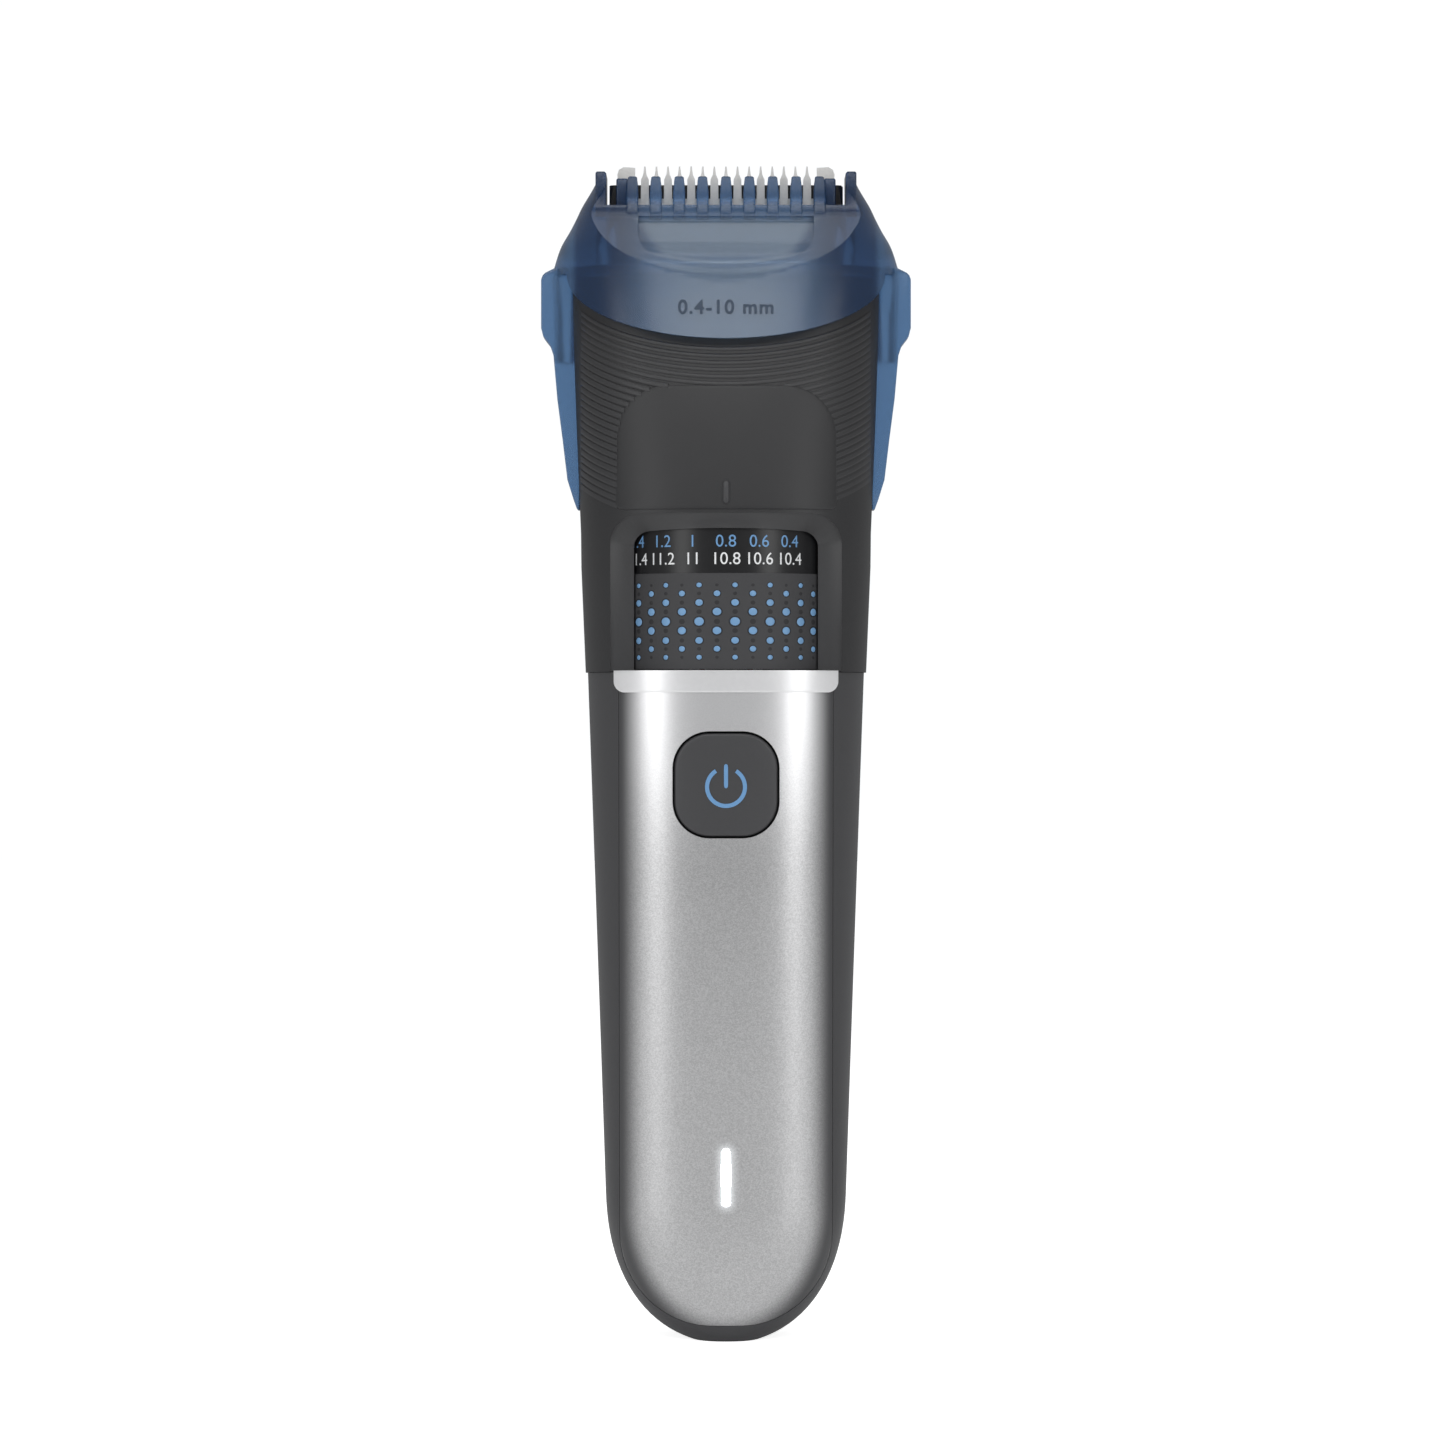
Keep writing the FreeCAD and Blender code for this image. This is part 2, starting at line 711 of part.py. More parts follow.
# height, half-width, front
comb_profile = [(140, 25.0, -18.0), (144, 25.05, -17.1), (150, 25.15, -15.6), (154.2, 25.25, -14.4),
                (156.2, 24.8, -13.9), (158.5, 24.0, -13.4), (160.8, 22.7, -12.8), (162.6, 21.8, -12.3),
                (164.3, 21.0, -11.8), (166.7, 19.6, -11.0), (169.0, 18.4, -10.4)]
comb_rear = 17.0
# depth and height of the line where the sloping top cuts the comb, from the ridge to the horns
comb_slope = [(-14.6, 153.4), (-13.6, 154.5), (-12.4, 156.0), (-10.0, 158.5), (-7.4, 160.9),
              (-5.7, 162.4), (-5.0, 163.6), (-4.8, 166.0), (-4.7, 170.0)]
tray_half = 12.6
tray_corner = 4.0
tray_depth = 0.6


def comb_dome():
    return loft([section(z, width, front, comb_rear) for z, width, front in comb_profile])


def over_slope():
    """Everything in front of and above the comb's sloping top."""
    outline = [(-30, comb_slope[0][1])] + comb_slope + [(-30, comb_slope[-1][1])]
    return side_prism(outline, -40, 40)


def tray():
    """Shallow tray let into the sloping top behind the ridge."""
    low = (-11.6, 156.8)
    high = (-5.8, 162.3)
    floor = [(low[0], low[1]), (low[0] + tray_depth, low[1] - 0.1), (-9.2 + tray_depth, 159.2 - tray_depth),
             (high[0] + 0.2, high[1] - tray_depth), (high[0] - 0.1, high[1] + 0.2), (-14, high[1] + 0.2),
             (-14, low[1])]
    recess = side_prism(floor, -tray_half, tray_half)
    return recess.common(rounded_prism(tray_half, low[1] - 1, high[1] + 10, -30, 0, tray_corner))


def comb_hollow():
    """Space under the comb for the housing and the head, open towards the rear."""
    housing = []
    for z in (138, 142, 146, 150, 153.4, upper_top_z + comb_drop):
        width, front, rear = upper_size(z - comb_drop)
        width = max(width, upper_size(shoulder_z)[0])
        housing.append(section(z, width + comb_clear, front - comb_clear, rear + comb_clear))
    space = loft(housing, True)
    head = []
    for z in (150, 154, 158, head_front_top, head_front_top + 1.4):
        width, front, rear = head_size(z)
        head.append(section(z, horn_inner, front - head_clear, rear + head_clear, head_power))
    return space.fuse(loft(head, True))


def band_edge():
    """Everything in front of the arms that lies below the band's curved lower edge."""
    arc = Part.Arc(Part.Ellipse(Vec(0, 0, 0), band_edge_width, band_edge_drop), math.pi, 2 * math.pi)
    edge = arc.toShape()
    edge.rotate(Vec(0, 0, 0), Vec(1, 0, 0), 90)
    edge.translate(Vec(0, -30, band_centre_z))
    low = 100
    wide = 40
    outline = [(band_edge_width, band_centre_z), (wide, band_centre_z), (wide, low), (-wide, low),
               (-wide, band_centre_z), (-band_edge_width, band_centre_z)]
    around = Part.makePolygon([Vec(x, -30, z) for x, z in outline])
    wire = Part.Wire(Part.__sortEdges__([edge] + around.Edges))
    return Part.Face(wire).extrude(Vec(0, 30 - arm_half_depth, 0))


def make_comb_arm():
    outline = [(arm_inner, arm_tip_z), (21.6, arm_tip_z), (22.1, 121.5), (23.0, 124.4), (23.7, 130.3),
               (24.45, 136.1), (25.0, 142.4), (26.8, 145.4), (26.8, 153.6), (26.2, 154.6), (24.6, 155.2),
               (arm_inner, 153.9)]
    arm = front_prism(outline, -arm_half_depth, arm_half_depth)
    half = arm_half_depth
    tapered = [(-half, 132), (-3.1, 123.5), (-2.2, arm_tip_z), (2.2, arm_tip_z), (3.1, 123.5),
               (half, 132), (half, 156), (-half, 156)]
    return arm.common(side_prism(tapered, 20, 28))


def make_comb():
    comb = comb_dome().cut(over_slope()).cut(tray()).cut(comb_hollow()).cut(band_edge())
    comb = comb.cut(box(-40, 40, -arm_half_depth, 30, 120, 141.8))
    comb = comb.cut(box(-40, 40, comb_back_y, 30, 120, 180))
    comb = comb.cut(box(-horn_inner, horn_inner, -3.0, 30, 150, 180))
    comb = comb.cut(box(-horn_inner, horn_inner, -30, 30, slot_bottom_z, 180))
    groove = box(arm_inner - 6, arm_inner, -arm_half_depth - 0.1, arm_half_depth + 0.1, 118, 153.9)
    for side in mirrored(groove):
        comb = comb.cut(side)
    for side in mirrored(box(horn_outer, 24, comb_back_y - 3.0, 30, 156, 180)):
        comb = comb.cut(side)
    fin_outline = [(-5.6, 161.8), (-4.4, 161.8), (-4.2, 162.7), (-2.95, 162.7), (-2.95, 164.4),
                   (-2.1, 165.2), (-2.1, 167.6), (-2.6, fin_top_z), (-3.4, fin_top_z - 0.3),
                   (-5.2, 164.6)]
    for i in range(fin_count):
        x = (i - (fin_count - 1) / 2) * fin_pitch
        comb = comb.fuse(side_prism(fin_outline, x - fin_width / 2, x + fin_width / 2))
    sheet = box(14.2, 15.9, -3.6, -2.4, 163, 168.1)
    foot = box(14.2, 15.9, -4.6, -2.95, 162.7, 164.1)
    return comb.fuse(mirrored(sheet)).fuse(mirrored(foot)).fuse(mirrored(make_comb_arm()))


save("comb", make_comb())
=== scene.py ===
import bpy
import math
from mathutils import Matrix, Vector


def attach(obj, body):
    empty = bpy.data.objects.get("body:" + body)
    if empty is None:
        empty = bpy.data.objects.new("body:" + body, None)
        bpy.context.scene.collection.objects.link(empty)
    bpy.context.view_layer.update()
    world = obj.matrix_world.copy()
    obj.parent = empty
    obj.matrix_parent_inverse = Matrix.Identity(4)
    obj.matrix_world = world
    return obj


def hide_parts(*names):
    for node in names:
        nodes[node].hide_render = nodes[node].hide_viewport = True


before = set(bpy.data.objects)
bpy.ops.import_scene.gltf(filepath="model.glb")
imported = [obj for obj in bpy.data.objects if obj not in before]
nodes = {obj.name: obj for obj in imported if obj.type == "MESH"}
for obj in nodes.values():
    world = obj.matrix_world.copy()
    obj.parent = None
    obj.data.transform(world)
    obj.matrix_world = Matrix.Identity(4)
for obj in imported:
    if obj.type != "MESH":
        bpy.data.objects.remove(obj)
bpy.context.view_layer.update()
bpy.ops.object.select_all(action="DESELECT")
mm = 0.001

# sizes are in millimetres and become metres where a vertex is placed
body = {
    "power": 2.35,
    "endHeight": 21.0, "endOffset": 0.7, "endPower": 2.3, "endDepthShare": 0.55,
    "seam": 96.4, "shoulder": 152.0, "top": 153.4,
    # half-width at the foot of each shell and how much it grows per millimetre of height
    "handleWidth": (16.78, 0.0342), "upperWidth": (20.4, 0.0415),
    # height, front, rear
    "handleDepths": [(0, -12.0, 12.6), (21, -12.2, 13.4), (45, -13.6, 15.8), (70, -15.6, 17.4),
                     (96.4, -17.8, 17.9)],
    "upperDepths": [(96.4, -18.05, 18.15), (110, -18.3, 18.3), (122, -17.9, 17.5), (134, -16.7, 16.0),
                    (144, -14.9, 14.2), (152, -12.9, 12.5), (153.4, -11.9, 11.6)],
    "headDepths": [(144, -10.2, 10.6), (150, -9.0, 10.2), (155, -7.2, 9.4), (161.5, -3.2, 8.0),
                   (167.5, -0.6, 6.0)],
    "wall": 1.8, "floor": 2.4, "floorDrop": 1.4,
    "topInset": 0.9, "hollowHalf": 19.2, "hollowWall": 1.5, "headHalf": 17.0, "headGap": 0.02,
    "socketHalf": 5.2, "socketDepth": 3.2,
}
groove = {"inner": 21.0, "half": 3.9, "low": 112, "earInner": 17.0, "earHalf": 2.8, "earLow": 117.2, "earHigh": 129.4}
panel = {"half": 15.4, "bottom": 2.4, "corner": 13.0, "seamGap": 0.05}
lip = {"half": 16.1, "bottom": 93.5, "corner": 1.6, "proud": 0.32, "over": 0.24}
button = {"z": 80.3, "half": 7.35, "corner": 5.0, "gap": 0.3, "iconRadius": 2.7, "stroke": 0.58, "stem": 8.2}
lightBar = {"half": 0.7, "low": 19.8, "high": 28.1}
window = {"outer": 16.6, "outerTop": 119.1, "outerCorner": 4.5, "inner": 13.2, "innerTop": 116.9,
          "innerCorner": 2.2}
wheel = {"axis": -1.0, "radius": 16.45, "ringRadius": 16.3, "room": 16.72, "ringTop": 117.3, "columns": 40,
         "dotRows": [108.8, 107.6, 106.3, 105.0, 103.6, 102.3, 100.9, 99.7, 98.5],
         "dotSizes": [0.42, 0.50, 0.58, 0.66, 0.74, 0.66, 0.58, 0.50, 0.42],
         "step": 17.0, "restLabel": 2, "blueRow": 115.0, "whiteRow": 112.5, "textSize": 2.45}
mark = {"z": 122, "rimHalf": 0.62, "rimHigh": 1.82, "half": 0.38, "high": 1.56}
ribs = {"pitch": 1.0, "first": 1, "last": 27, "width": 0.7, "height": 0.2, "drop": 0.45, "end": 20.9,
        "shieldHalf": 15.8, "shieldTop": 137.3, "shieldCorner": 7.0}
band = {"centre": 154.0, "half": 23.0, "drop": 10.0}
comb = {
    # height, half-width, front
    "profile": [(140, 25.0, -18.0), (144, 25.05, -17.1), (150, 25.15, -15.6), (154.2, 25.25, -14.4),
                (156.2, 24.8, -13.9), (158.5, 24.0, -13.4), (160.8, 22.7, -12.8), (162.6, 21.8, -12.3),
                (164.3, 21.0, -11.8), (166.7, 19.6, -11.0), (169.0, 18.4, -10.4)],
    # depth and height of the sloping top, from the rolled ridge to the horns
    "slope": [(-15.35, 150.8), (-15.08, 151.9), (-14.75, 152.8), (-14.3, 153.6), (-13.7, 154.4), (-12.95, 155.25),
              (-12.1, 156.15), (-11.1, 157.25), (-10.0, 158.45), (-8.7, 159.75), (-7.4, 160.9), (-6.4, 161.8),
              (-5.7, 162.4), (-5.25, 163.0), (-5.0, 163.8), (-4.85, 165.2), (-4.75, 167.0), (-4.7, 170.0)],
    "rear": 17.0, "back": 7.0, "clear": 0.5, "headClear": 1.0, "drop": 1.4,
    "hornInner": 17.4, "hornOuter": 19.3, "slotBottom": 164.1,
    "fins": 9, "finPitch": 3.39, "finWidth": 1.75, "finTop": 168.5, "finTaper": 167.6,
    "armInner": 21.3, "armHalf": 3.6, "trayHalf": 12.7, "trayCorner": 4.0, "textZ": 148.4, "textSize": 2.85,
}
# front cutters start ahead of the whole object
ahead = -30
studio = {
    # place, aim, width and height, and watts of each soft light; places are in metres
    "boxes": {"leftBox": ((-0.62, -0.62, 0.16), (0, 0, 0.09), (0.26, 0.8), 1.75),
              "rightBox": ((0.62, -0.62, 0.16), (0, 0, 0.09), (0.26, 0.8), 1.75),
              "topBox": ((0, -0.1, 0.8), (0, 0, 0.1), (0.7, 0.6), 1.9),
              "frontBox": ((0, -0.66, 0.52), (0, 0, 0.15), (0.75, 0.24), 1.7)},
    "room": 0.3, "backdrop": 0.76, "floorGlow": 0.12, "floorSeen": 0.72,
    "camera": (-0.0005, -0.789, 0.0892), "lens": 135,
}


def between(stations, z):
    last = len(stations) - 1
    i = 0
    while i < last - 1 and z > stations[i + 1][0]:
        i += 1
    low, high = stations[i], stations[i + 1]
    before, after = stations[max(i - 1, 0)], stations[min(i + 2, last)]
    span = high[0] - low[0]
    t = (z - low[0]) / span
    values = []
    for k in range(1, len(low)):
        slopeLow = (high[k] - before[k]) / (high[0] - before[0]) * span
        slopeHigh = (after[k] - low[k]) / (after[0] - low[0]) * span
        rise = high[k] - low[k]
        values.append(low[k] + slopeLow * t + (3 * rise - 2 * slopeLow - slopeHigh) * t ** 2
                      + (slopeLow + slopeHigh - 2 * rise) * t ** 3)
    return values


def handleSize(z):
    front, rear = between(body["handleDepths"], z)
    width = body["handleWidth"][0] + body["handleWidth"][1] * z
    if z < body["endHeight"]:
        left = 1 - (z + body["endOffset"]) / (body["endHeight"] + body["endOffset"])
        fullness = (1 - left ** body["endPower"]) ** (1 / body["endPower"])
        depth = body["endDepthShare"] + (1 - body["endDepthShare"]) * fullness
        width, front, rear = width * fullness, front * depth, rear * depth
    return width, front, rear


def handleInside(z):
    width, front, rear = handleSize(min(z, body["seam"]) - body["floorDrop"])
    return width - body["wall"], front + body["wall"], rear - body["wall"]


def proudSize(z):
    width, front, rear = handleSize(z)
    return width + lip["proud"], front - lip["proud"], rear + lip["proud"]


def upperSize(z):
    front, rear = between(body["upperDepths"], min(z, body["top"]))
    width = body["upperWidth"][0] + body["upperWidth"][1] * (z - body["seam"])
    over = max(z - body["shoulder"], 0) / (body["top"] - body["shoulder"])
    return width - body["topInset"] * over ** 2, front, rear


def upperInside(z):
    front, rear = between(body["upperDepths"], z)
    return body["hollowHalf"], front + body["hollowWall"], rear - body["hollowWall"]


def headSize(z):
    front, rear = between(body["headDepths"], z)
    gap = body["headGap"]
    return body["headHalf"] + gap, front - gap, rear + gap


def frontAt(sizeAt, x, z, power=body["power"]):
    width, front, rear = sizeAt(z)
    share = max(1 - abs(x / width) ** power, 0) ** (1 / power)
    return (front + rear) / 2 - (rear - front) / 2 * share


def spread(low, high, count):
    return [low + (high - low) * i / count for i in range(count + 1)]


# modelling helpers
def activate(piece):
    bpy.ops.object.select_all(action="DESELECT")
    piece.select_set(True)
    bpy.context.view_layer.objects.active = piece


def editAll(piece):
    activate(piece)
    bpy.ops.object.mode_set(mode="EDIT")
    bpy.ops.mesh.select_all(action="SELECT")


def finishEdit():
    bpy.ops.object.mode_set(mode="OBJECT")


def facesOut(piece):
    editAll(piece)
    bpy.ops.mesh.remove_doubles(threshold=0.000002)
    bpy.ops.mesh.normals_make_consistent(inside=False)
    finishEdit()
    return piece


def applied(piece, kind, **settings):
    activate(piece)
    modifier = piece.modifiers.new(kind.lower(), kind)
    for key, value in settings.items():
        setattr(modifier, key, value)
    bpy.ops.object.modifier_apply(modifier=modifier.name)
    return piece


def combine(piece, other, operation="DIFFERENCE"):
    applied(piece, "BOOLEAN", operation=operation, object=other, solver="EXACT")
    bpy.data.objects.remove(other)
    return piece


def copyOf(piece, name):
    double = piece.copy()
    double.data = piece.data.copy()
    double.name = name
    bpy.context.scene.collection.objects.link(double)
    return double


def joined(pieces, name):
    bpy.ops.object.select_all(action="DESELECT")
    for piece in pieces:
        piece.select_set(True)
    bpy.context.view_layer.objects.active = pieces[0]
    bpy.ops.object.join()
    pieces[0].name = name
    return pieces[0]


def smooth(piece, angle=35):
    activate(piece)
    bpy.ops.object.shade_smooth_by_angle(angle=math.radians(angle))
    return piece


def softened(piece, width, segments=2, angle=40):
    return applied(piece, "BEVEL", width=width * mm, segments=segments, limit_method="ANGLE",
                   angle_limit=math.radians(angle))


def cube(name, x0, x1, y0, y1, z0, z1):
    bpy.ops.object.select_all(action="DESELECT")
    bpy.ops.mesh.primitive_cube_add(size=1, location=((x0 + x1) / 2 * mm, (y0 + y1) / 2 * mm, (z0 + z1) / 2 * mm))
    piece = bpy.context.object
    piece.name = name
    piece.scale = ((x1 - x0) * mm, (y1 - y0) * mm, (z1 - z0) * mm)
    bpy.ops.object.transform_apply(location=True, rotation=True, scale=True)
    return piece


def cylinder(name, radius, z0, z1, x=0.0, y=0.0, vertices=128):
    bpy.ops.object.select_all(action="DESELECT")
    bpy.ops.mesh.primitive_cylinder_add(vertices=vertices, radius=radius * mm, depth=(z1 - z0) * mm,
                                        location=(x * mm, y * mm, (z0 + z1) / 2 * mm))
    piece = bpy.context.object
    piece.name = name
    bpy.ops.object.transform_apply(location=True, rotation=True, scale=True)
    return piece


def roundCorners(piece, radius):
    # rounds the edges that run front to back
    mesh = piece.data
    editAll(piece)
    bpy.ops.mesh.select_all(action="DESELECT")
    bpy.ops.mesh.select_mode(type="EDGE")
    finishEdit()
    for edge in mesh.edges:
        a, b = (mesh.vertices[v].co for v in edge.vertices)
        edge.select = abs((b - a).normalized().y) > 0.99
    bpy.ops.object.mode_set(mode="EDIT")
    bpy.ops.mesh.bevel(offset=radius * mm, segments=12, affect="EDGES")
    finishEdit()
    return piece


def frontPrism(name, half, z0, z1, y0, y1, corner):
    return roundCorners(cube(name, -half, half, y0, y1, z0, z1), corner)


def loft(name, sizeAt, levels, columns=128, power=body["power"]):
    # a ring is extruded once per level, then every ring is given its section
    bpy.ops.object.select_all(action="DESELECT")
    bpy.ops.mesh.primitive_circle_add(vertices=columns, radius=1)
    piece = bpy.context.object
    piece.name = name
    editAll(piece)
    bpy.ops.mesh.edge_face_add()
    for z in levels[1:]:
        bpy.ops.mesh.extrude_region_move(TRANSFORM_OT_translate={"value": (0, 0, 1)})
    finishEdit()
    exponent = 2 / power
    for vertex in piece.data.vertices:
        z = levels[round(vertex.co.z)]
        width, front, rear = sizeAt(z)
        angle = math.atan2(vertex.co.y, vertex.co.x)
        c, s = math.cos(angle), math.sin(angle)
        x = width * math.copysign(abs(c) ** exponent, c)
        y = (front + rear) / 2 + (rear - front) / 2 * math.copysign(abs(s) ** exponent, s)
        vertex.co = (x * mm, y * mm, z * mm)
    return facesOut(piece)


def patch(name, across, along, place, thickness=0.0):
    # a grid whose u and v run from 0 to 1; place(u, v) says where each point goes
    bpy.ops.object.select_all(action="DESELECT")
    bpy.ops.mesh.primitive_grid_add(x_subdivisions=across, y_subdivisions=along, size=1)
    piece = bpy.context.object
    piece.name = name
    for vertex in piece.data.vertices:
        x, y, z = place(vertex.co.x + 0.5, vertex.co.y + 0.5)
        vertex.co = (x * mm, y * mm, z * mm)
    if thickness:
        applied(piece, "SOLIDIFY", thickness=thickness * mm, offset=-1)
    return piece


def pad(name, outline, rings, surface, depth, columns=96):
    # each ring is (share of the outline, how far it lies behind the surface); the last ones close the middle
    bpy.ops.object.select_all(action="DESELECT")
    bpy.ops.mesh.primitive_circle_add(vertices=columns, radius=1)
    piece = bpy.context.object
    piece.name = name
    editAll(piece)
    for ring in rings:
        bpy.ops.mesh.extrude_region_move(TRANSFORM_OT_translate={"value": (0, 0, 1)})
    bpy.ops.mesh.edge_face_add()
    bpy.ops.mesh.poke()
    finishEdit()
    for vertex in piece.data.vertices:
        index = round(vertex.co.z)
        share, below = (rings[index - 1] if index else (rings[0][0], rings[0][1] + depth))
        if vertex.co.x ** 2 + vertex.co.y ** 2 < 0.01:
            share = 0
        x, z = outline(math.atan2(vertex.co.y, vertex.co.x), share)
        vertex.co = (x * mm, (surface(x, z) + below) * mm, z * mm)
    editAll(piece)
    bpy.ops.mesh.select_all(action="DESELECT")
    bpy.ops.mesh.select_non_manifold()
    bpy.ops.mesh.edge_face_add()
    finishEdit()
    return facesOut(piece)


def roundedOutline(halfX, halfZ, highCorner, centreX, centreZ, lowCorner=None):
    def point(angle, share):
        c, s = math.cos(angle), math.sin(angle)
        corner = highCorner if s > 0 or lowCorner is None else lowCorner
        reach = 1 / max(abs(c) / halfX, abs(s) / halfZ)
        x, z = c * reach, s * reach
        cornerX, cornerZ = halfX - corner, halfZ - corner
        if abs(x) > cornerX and abs(z) > cornerZ:
            dx, dz = abs(x) - cornerX, abs(z) - cornerZ
            length = math.hypot(dx, dz)
            x = math.copysign(cornerX + dx / length * corner, x)
            z = math.copysign(cornerZ + dz / length * corner, z)
        return centreX + x * share, centreZ + z * share
    return point


# shared shader groups
def newGroup(name, inputs, outputs):
    group = bpy.data.node_groups.new(name, "ShaderNodeTree")
    for socketName, kind, value in inputs:
        socket = group.interface.new_socket(name=socketName, in_out="INPUT", socket_type=kind)
        if value is not None:
            socket.default_value = value
    for socketName, kind in outputs:
        group.interface.new_socket(name=socketName, in_out="OUTPUT", socket_type=kind)
    return group, group.nodes.new("NodeGroupInput"), group.nodes.new("NodeGroupOutput")


def math2(tree, operation, a, b, clamp=False):
    node = tree.nodes.new("ShaderNodeMath")
    node.operation = operation
    node.use_clamp = clamp
    for socket, value in zip(node.inputs, (a, b)):
        if isinstance(value, (int, float)):
            socket.default_value = value
        else:
            tree.links.new(value, socket)
    return node.outputs[0]


def splitPlace(group):
    split = group.nodes.new("ShaderNodeSeparateXYZ")
    group.links.new(group.nodes.new("ShaderNodeTexCoord").outputs["Object"], split.inputs[0])
    return [split.outputs[axis] for axis in "XYZ"]


def ease(group, value, low, high, lowValue, highValue):
    # goes smoothly from lowValue to highValue while value goes from low to high
    ramp = group.nodes.new("ShaderNodeMapRange")
    ramp.interpolation_type = "SMOOTHSTEP"
    group.links.new(value, ramp.inputs["Value"])
    for name, number in (("From Min", low), ("From Max", high), ("To Min", lowValue), ("To Max", highValue)):
        if isinstance(number, (int, float)):
            ramp.inputs[name].default_value = number
        else:
            group.links.new(number, ramp.inputs[name])
    return ramp.outputs["Result"]


def makeFinishGroup():
    # slow patches, fine grain and a bump from both
    group, start, end = newGroup(
        "finish", [("Colour", "NodeSocketColor", None), ("Roughness", "NodeSocketFloat", 0.5),
                   ("Grain Scale", "NodeSocketFloat", 4000), ("Variation", "NodeSocketFloat", 0.06),
                   ("Bump", "NodeSocketFloat", 0.1)],
        [("Colour", "NodeSocketColor"), ("Roughness", "NodeSocketFloat"), ("Normal", "NodeSocketVector")])
    link = group.links.new
    place = group.nodes.new("ShaderNodeTexCoord").outputs["Object"]
    slow = group.nodes.new("ShaderNodeTexNoise")
    slow.inputs["Scale"].default_value = 90
    slow.inputs["Detail"].default_value = 4
    link(place, slow.inputs["Vector"])
    fine = group.nodes.new("ShaderNodeTexNoise")
    fine.inputs["Detail"].default_value = 2
    link(place, fine.inputs["Vector"])
    link(start.outputs["Grain Scale"], fine.inputs["Scale"])
    mixed = math2(group, "ADD", slow.outputs["Fac"], fine.outputs["Fac"])
    centred = math2(group, "SUBTRACT", mixed, 1.0)
    change = math2(group, "MULTIPLY", centred, start.outputs["Variation"])
    shade = group.nodes.new("ShaderNodeHueSaturation")
    link(start.outputs["Colour"], shade.inputs["Color"])
    link(math2(group, "ADD", math2(group, "MULTIPLY", change, 2.0), 1.0), shade.inputs["Value"])
    link(shade.outputs["Color"], end.inputs["Colour"])
    link(math2(group, "ADD", start.outputs["Roughness"], change, True), end.inputs["Roughness"])
    bump = group.nodes.new("ShaderNodeBump")
    bump.inputs["Distance"].default_value = 0.00004
    link(start.outputs["Bump"], bump.inputs["Strength"])
    link(fine.outputs["Fac"], bump.inputs["Height"])
    link(bump.outputs["Normal"], end.inputs["Normal"])
    return group


def makeFadeGroup():
    # 1 in the silver middle of the front, 0 at its dark sides and round the lower end
    group, start, end = newGroup("silverFade", [("Inner", "NodeSocketFloat", 0.0118),
                                                ("Outer", "NodeSocketFloat", 0.0152)],
                                 [("Mask", "NodeSocketFloat")])
    x, y, z = splitPlace(group)
    low = math2(group, "MAXIMUM", math2(group, "SUBTRACT", 0.0195, z), 0.0)
    low = math2(group, "MULTIPLY", low, 0.78)
    square = math2(group, "ADD", math2(group, "MULTIPLY", low, low), math2(group, "MULTIPLY", x, x))
    reach = math2(group, "SQRT", square, 0.0)
    fade = ease(group, reach, start.outputs["Inner"], start.outputs["Outer"], 1, 0)
    front = math2(group, "LESS_THAN", y, -0.002)
    group.links.new(math2(group, "MULTIPLY", fade, front), end.inputs["Mask"])
    return group


finishGroup = makeFinishGroup()
fadeGroup = makeFadeGroup()


def makeMaterial(name, colour, roughness, metallic=0.0, grain=3000, variation=0.06, bump=0.1,
                 transmission=0.0, ior=1.45):
    material = bpy.data.materials.new(name)
    material.use_nodes = True
    tree = material.node_tree
    shader = tree.nodes["Principled BSDF"]
    finish = tree.nodes.new("ShaderNodeGroup")
    finish.node_tree = finishGroup
    finish.name = "finish"
    finish.inputs["Colour"].default_value = (*colour, 1)
    finish.inputs["Roughness"].default_value = roughness
    finish.inputs["Grain Scale"].default_value = grain
    finish.inputs["Variation"].default_value = variation
    finish.inputs["Bump"].default_value = bump
    tree.links.new(finish.outputs["Colour"], shader.inputs["Base Color"])
    tree.links.new(finish.outputs["Roughness"], shader.inputs["Roughness"])
    tree.links.new(finish.outputs["Normal"], shader.inputs["Normal"])
    shader.inputs["Metallic"].default_value = metallic
    shader.inputs["IOR"].default_value = ior
    shader.inputs["Transmission Weight"].default_value = transmission
    return material


def mixColour(tree, mask, low, high):
    mix = tree.nodes.new("ShaderNodeMix")
    mix.data_type = "RGBA"
    tree.links.new(mask, mix.inputs["Factor"])
    for socket, value in ((mix.inputs[6], low), (mix.inputs[7], high)):
        if isinstance(value, tuple):
            socket.default_value = (*value, 1)
        else:
            tree.links.new(value, socket)
    return mix.outputs[2]


def makePanelPaintedLightGroup():
    # Top rises to 1 under the lip, where a painted highlight goes; the second output fades out round the light bar,
    # where a painted glow of light goes
    group, start, end = newGroup("panelPaintedLight", [("Reach", "NodeSocketFloat", 0.0022)],
                                 [("Top", "NodeSocketFloat"), ("PaintedGlow", "NodeSocketFloat")])
    link = group.links.new
    x, y, z = splitPlace(group)
    link(ease(group, z, 0.066, 0.094, 0, 0.8), end.inputs["Top"])
    middle = (lightBar["low"] + lightBar["high"]) / 2 * mm
    reach = ((lightBar["high"] - lightBar["low"]) / 2 - lightBar["half"]) * mm
    high = math2(group, "ABSOLUTE", math2(group, "SUBTRACT", z, middle), 0.0)
    high = math2(group, "MAXIMUM", math2(group, "SUBTRACT", high, reach), 0.0)
    far = math2(group, "ADD", math2(group, "MULTIPLY", high, high), math2(group, "MULTIPLY", x, x))
    far = math2(group, "DIVIDE", math2(group, "SQRT", far, 0.0), start.outputs["Reach"])
    near = math2(group, "MAXIMUM", math2(group, "SUBTRACT", 1.0, far), 0.0)
    link(math2(group, "MULTIPLY", math2(group, "MULTIPLY", near, near), 0.75), end.inputs["PaintedGlow"])
    return group


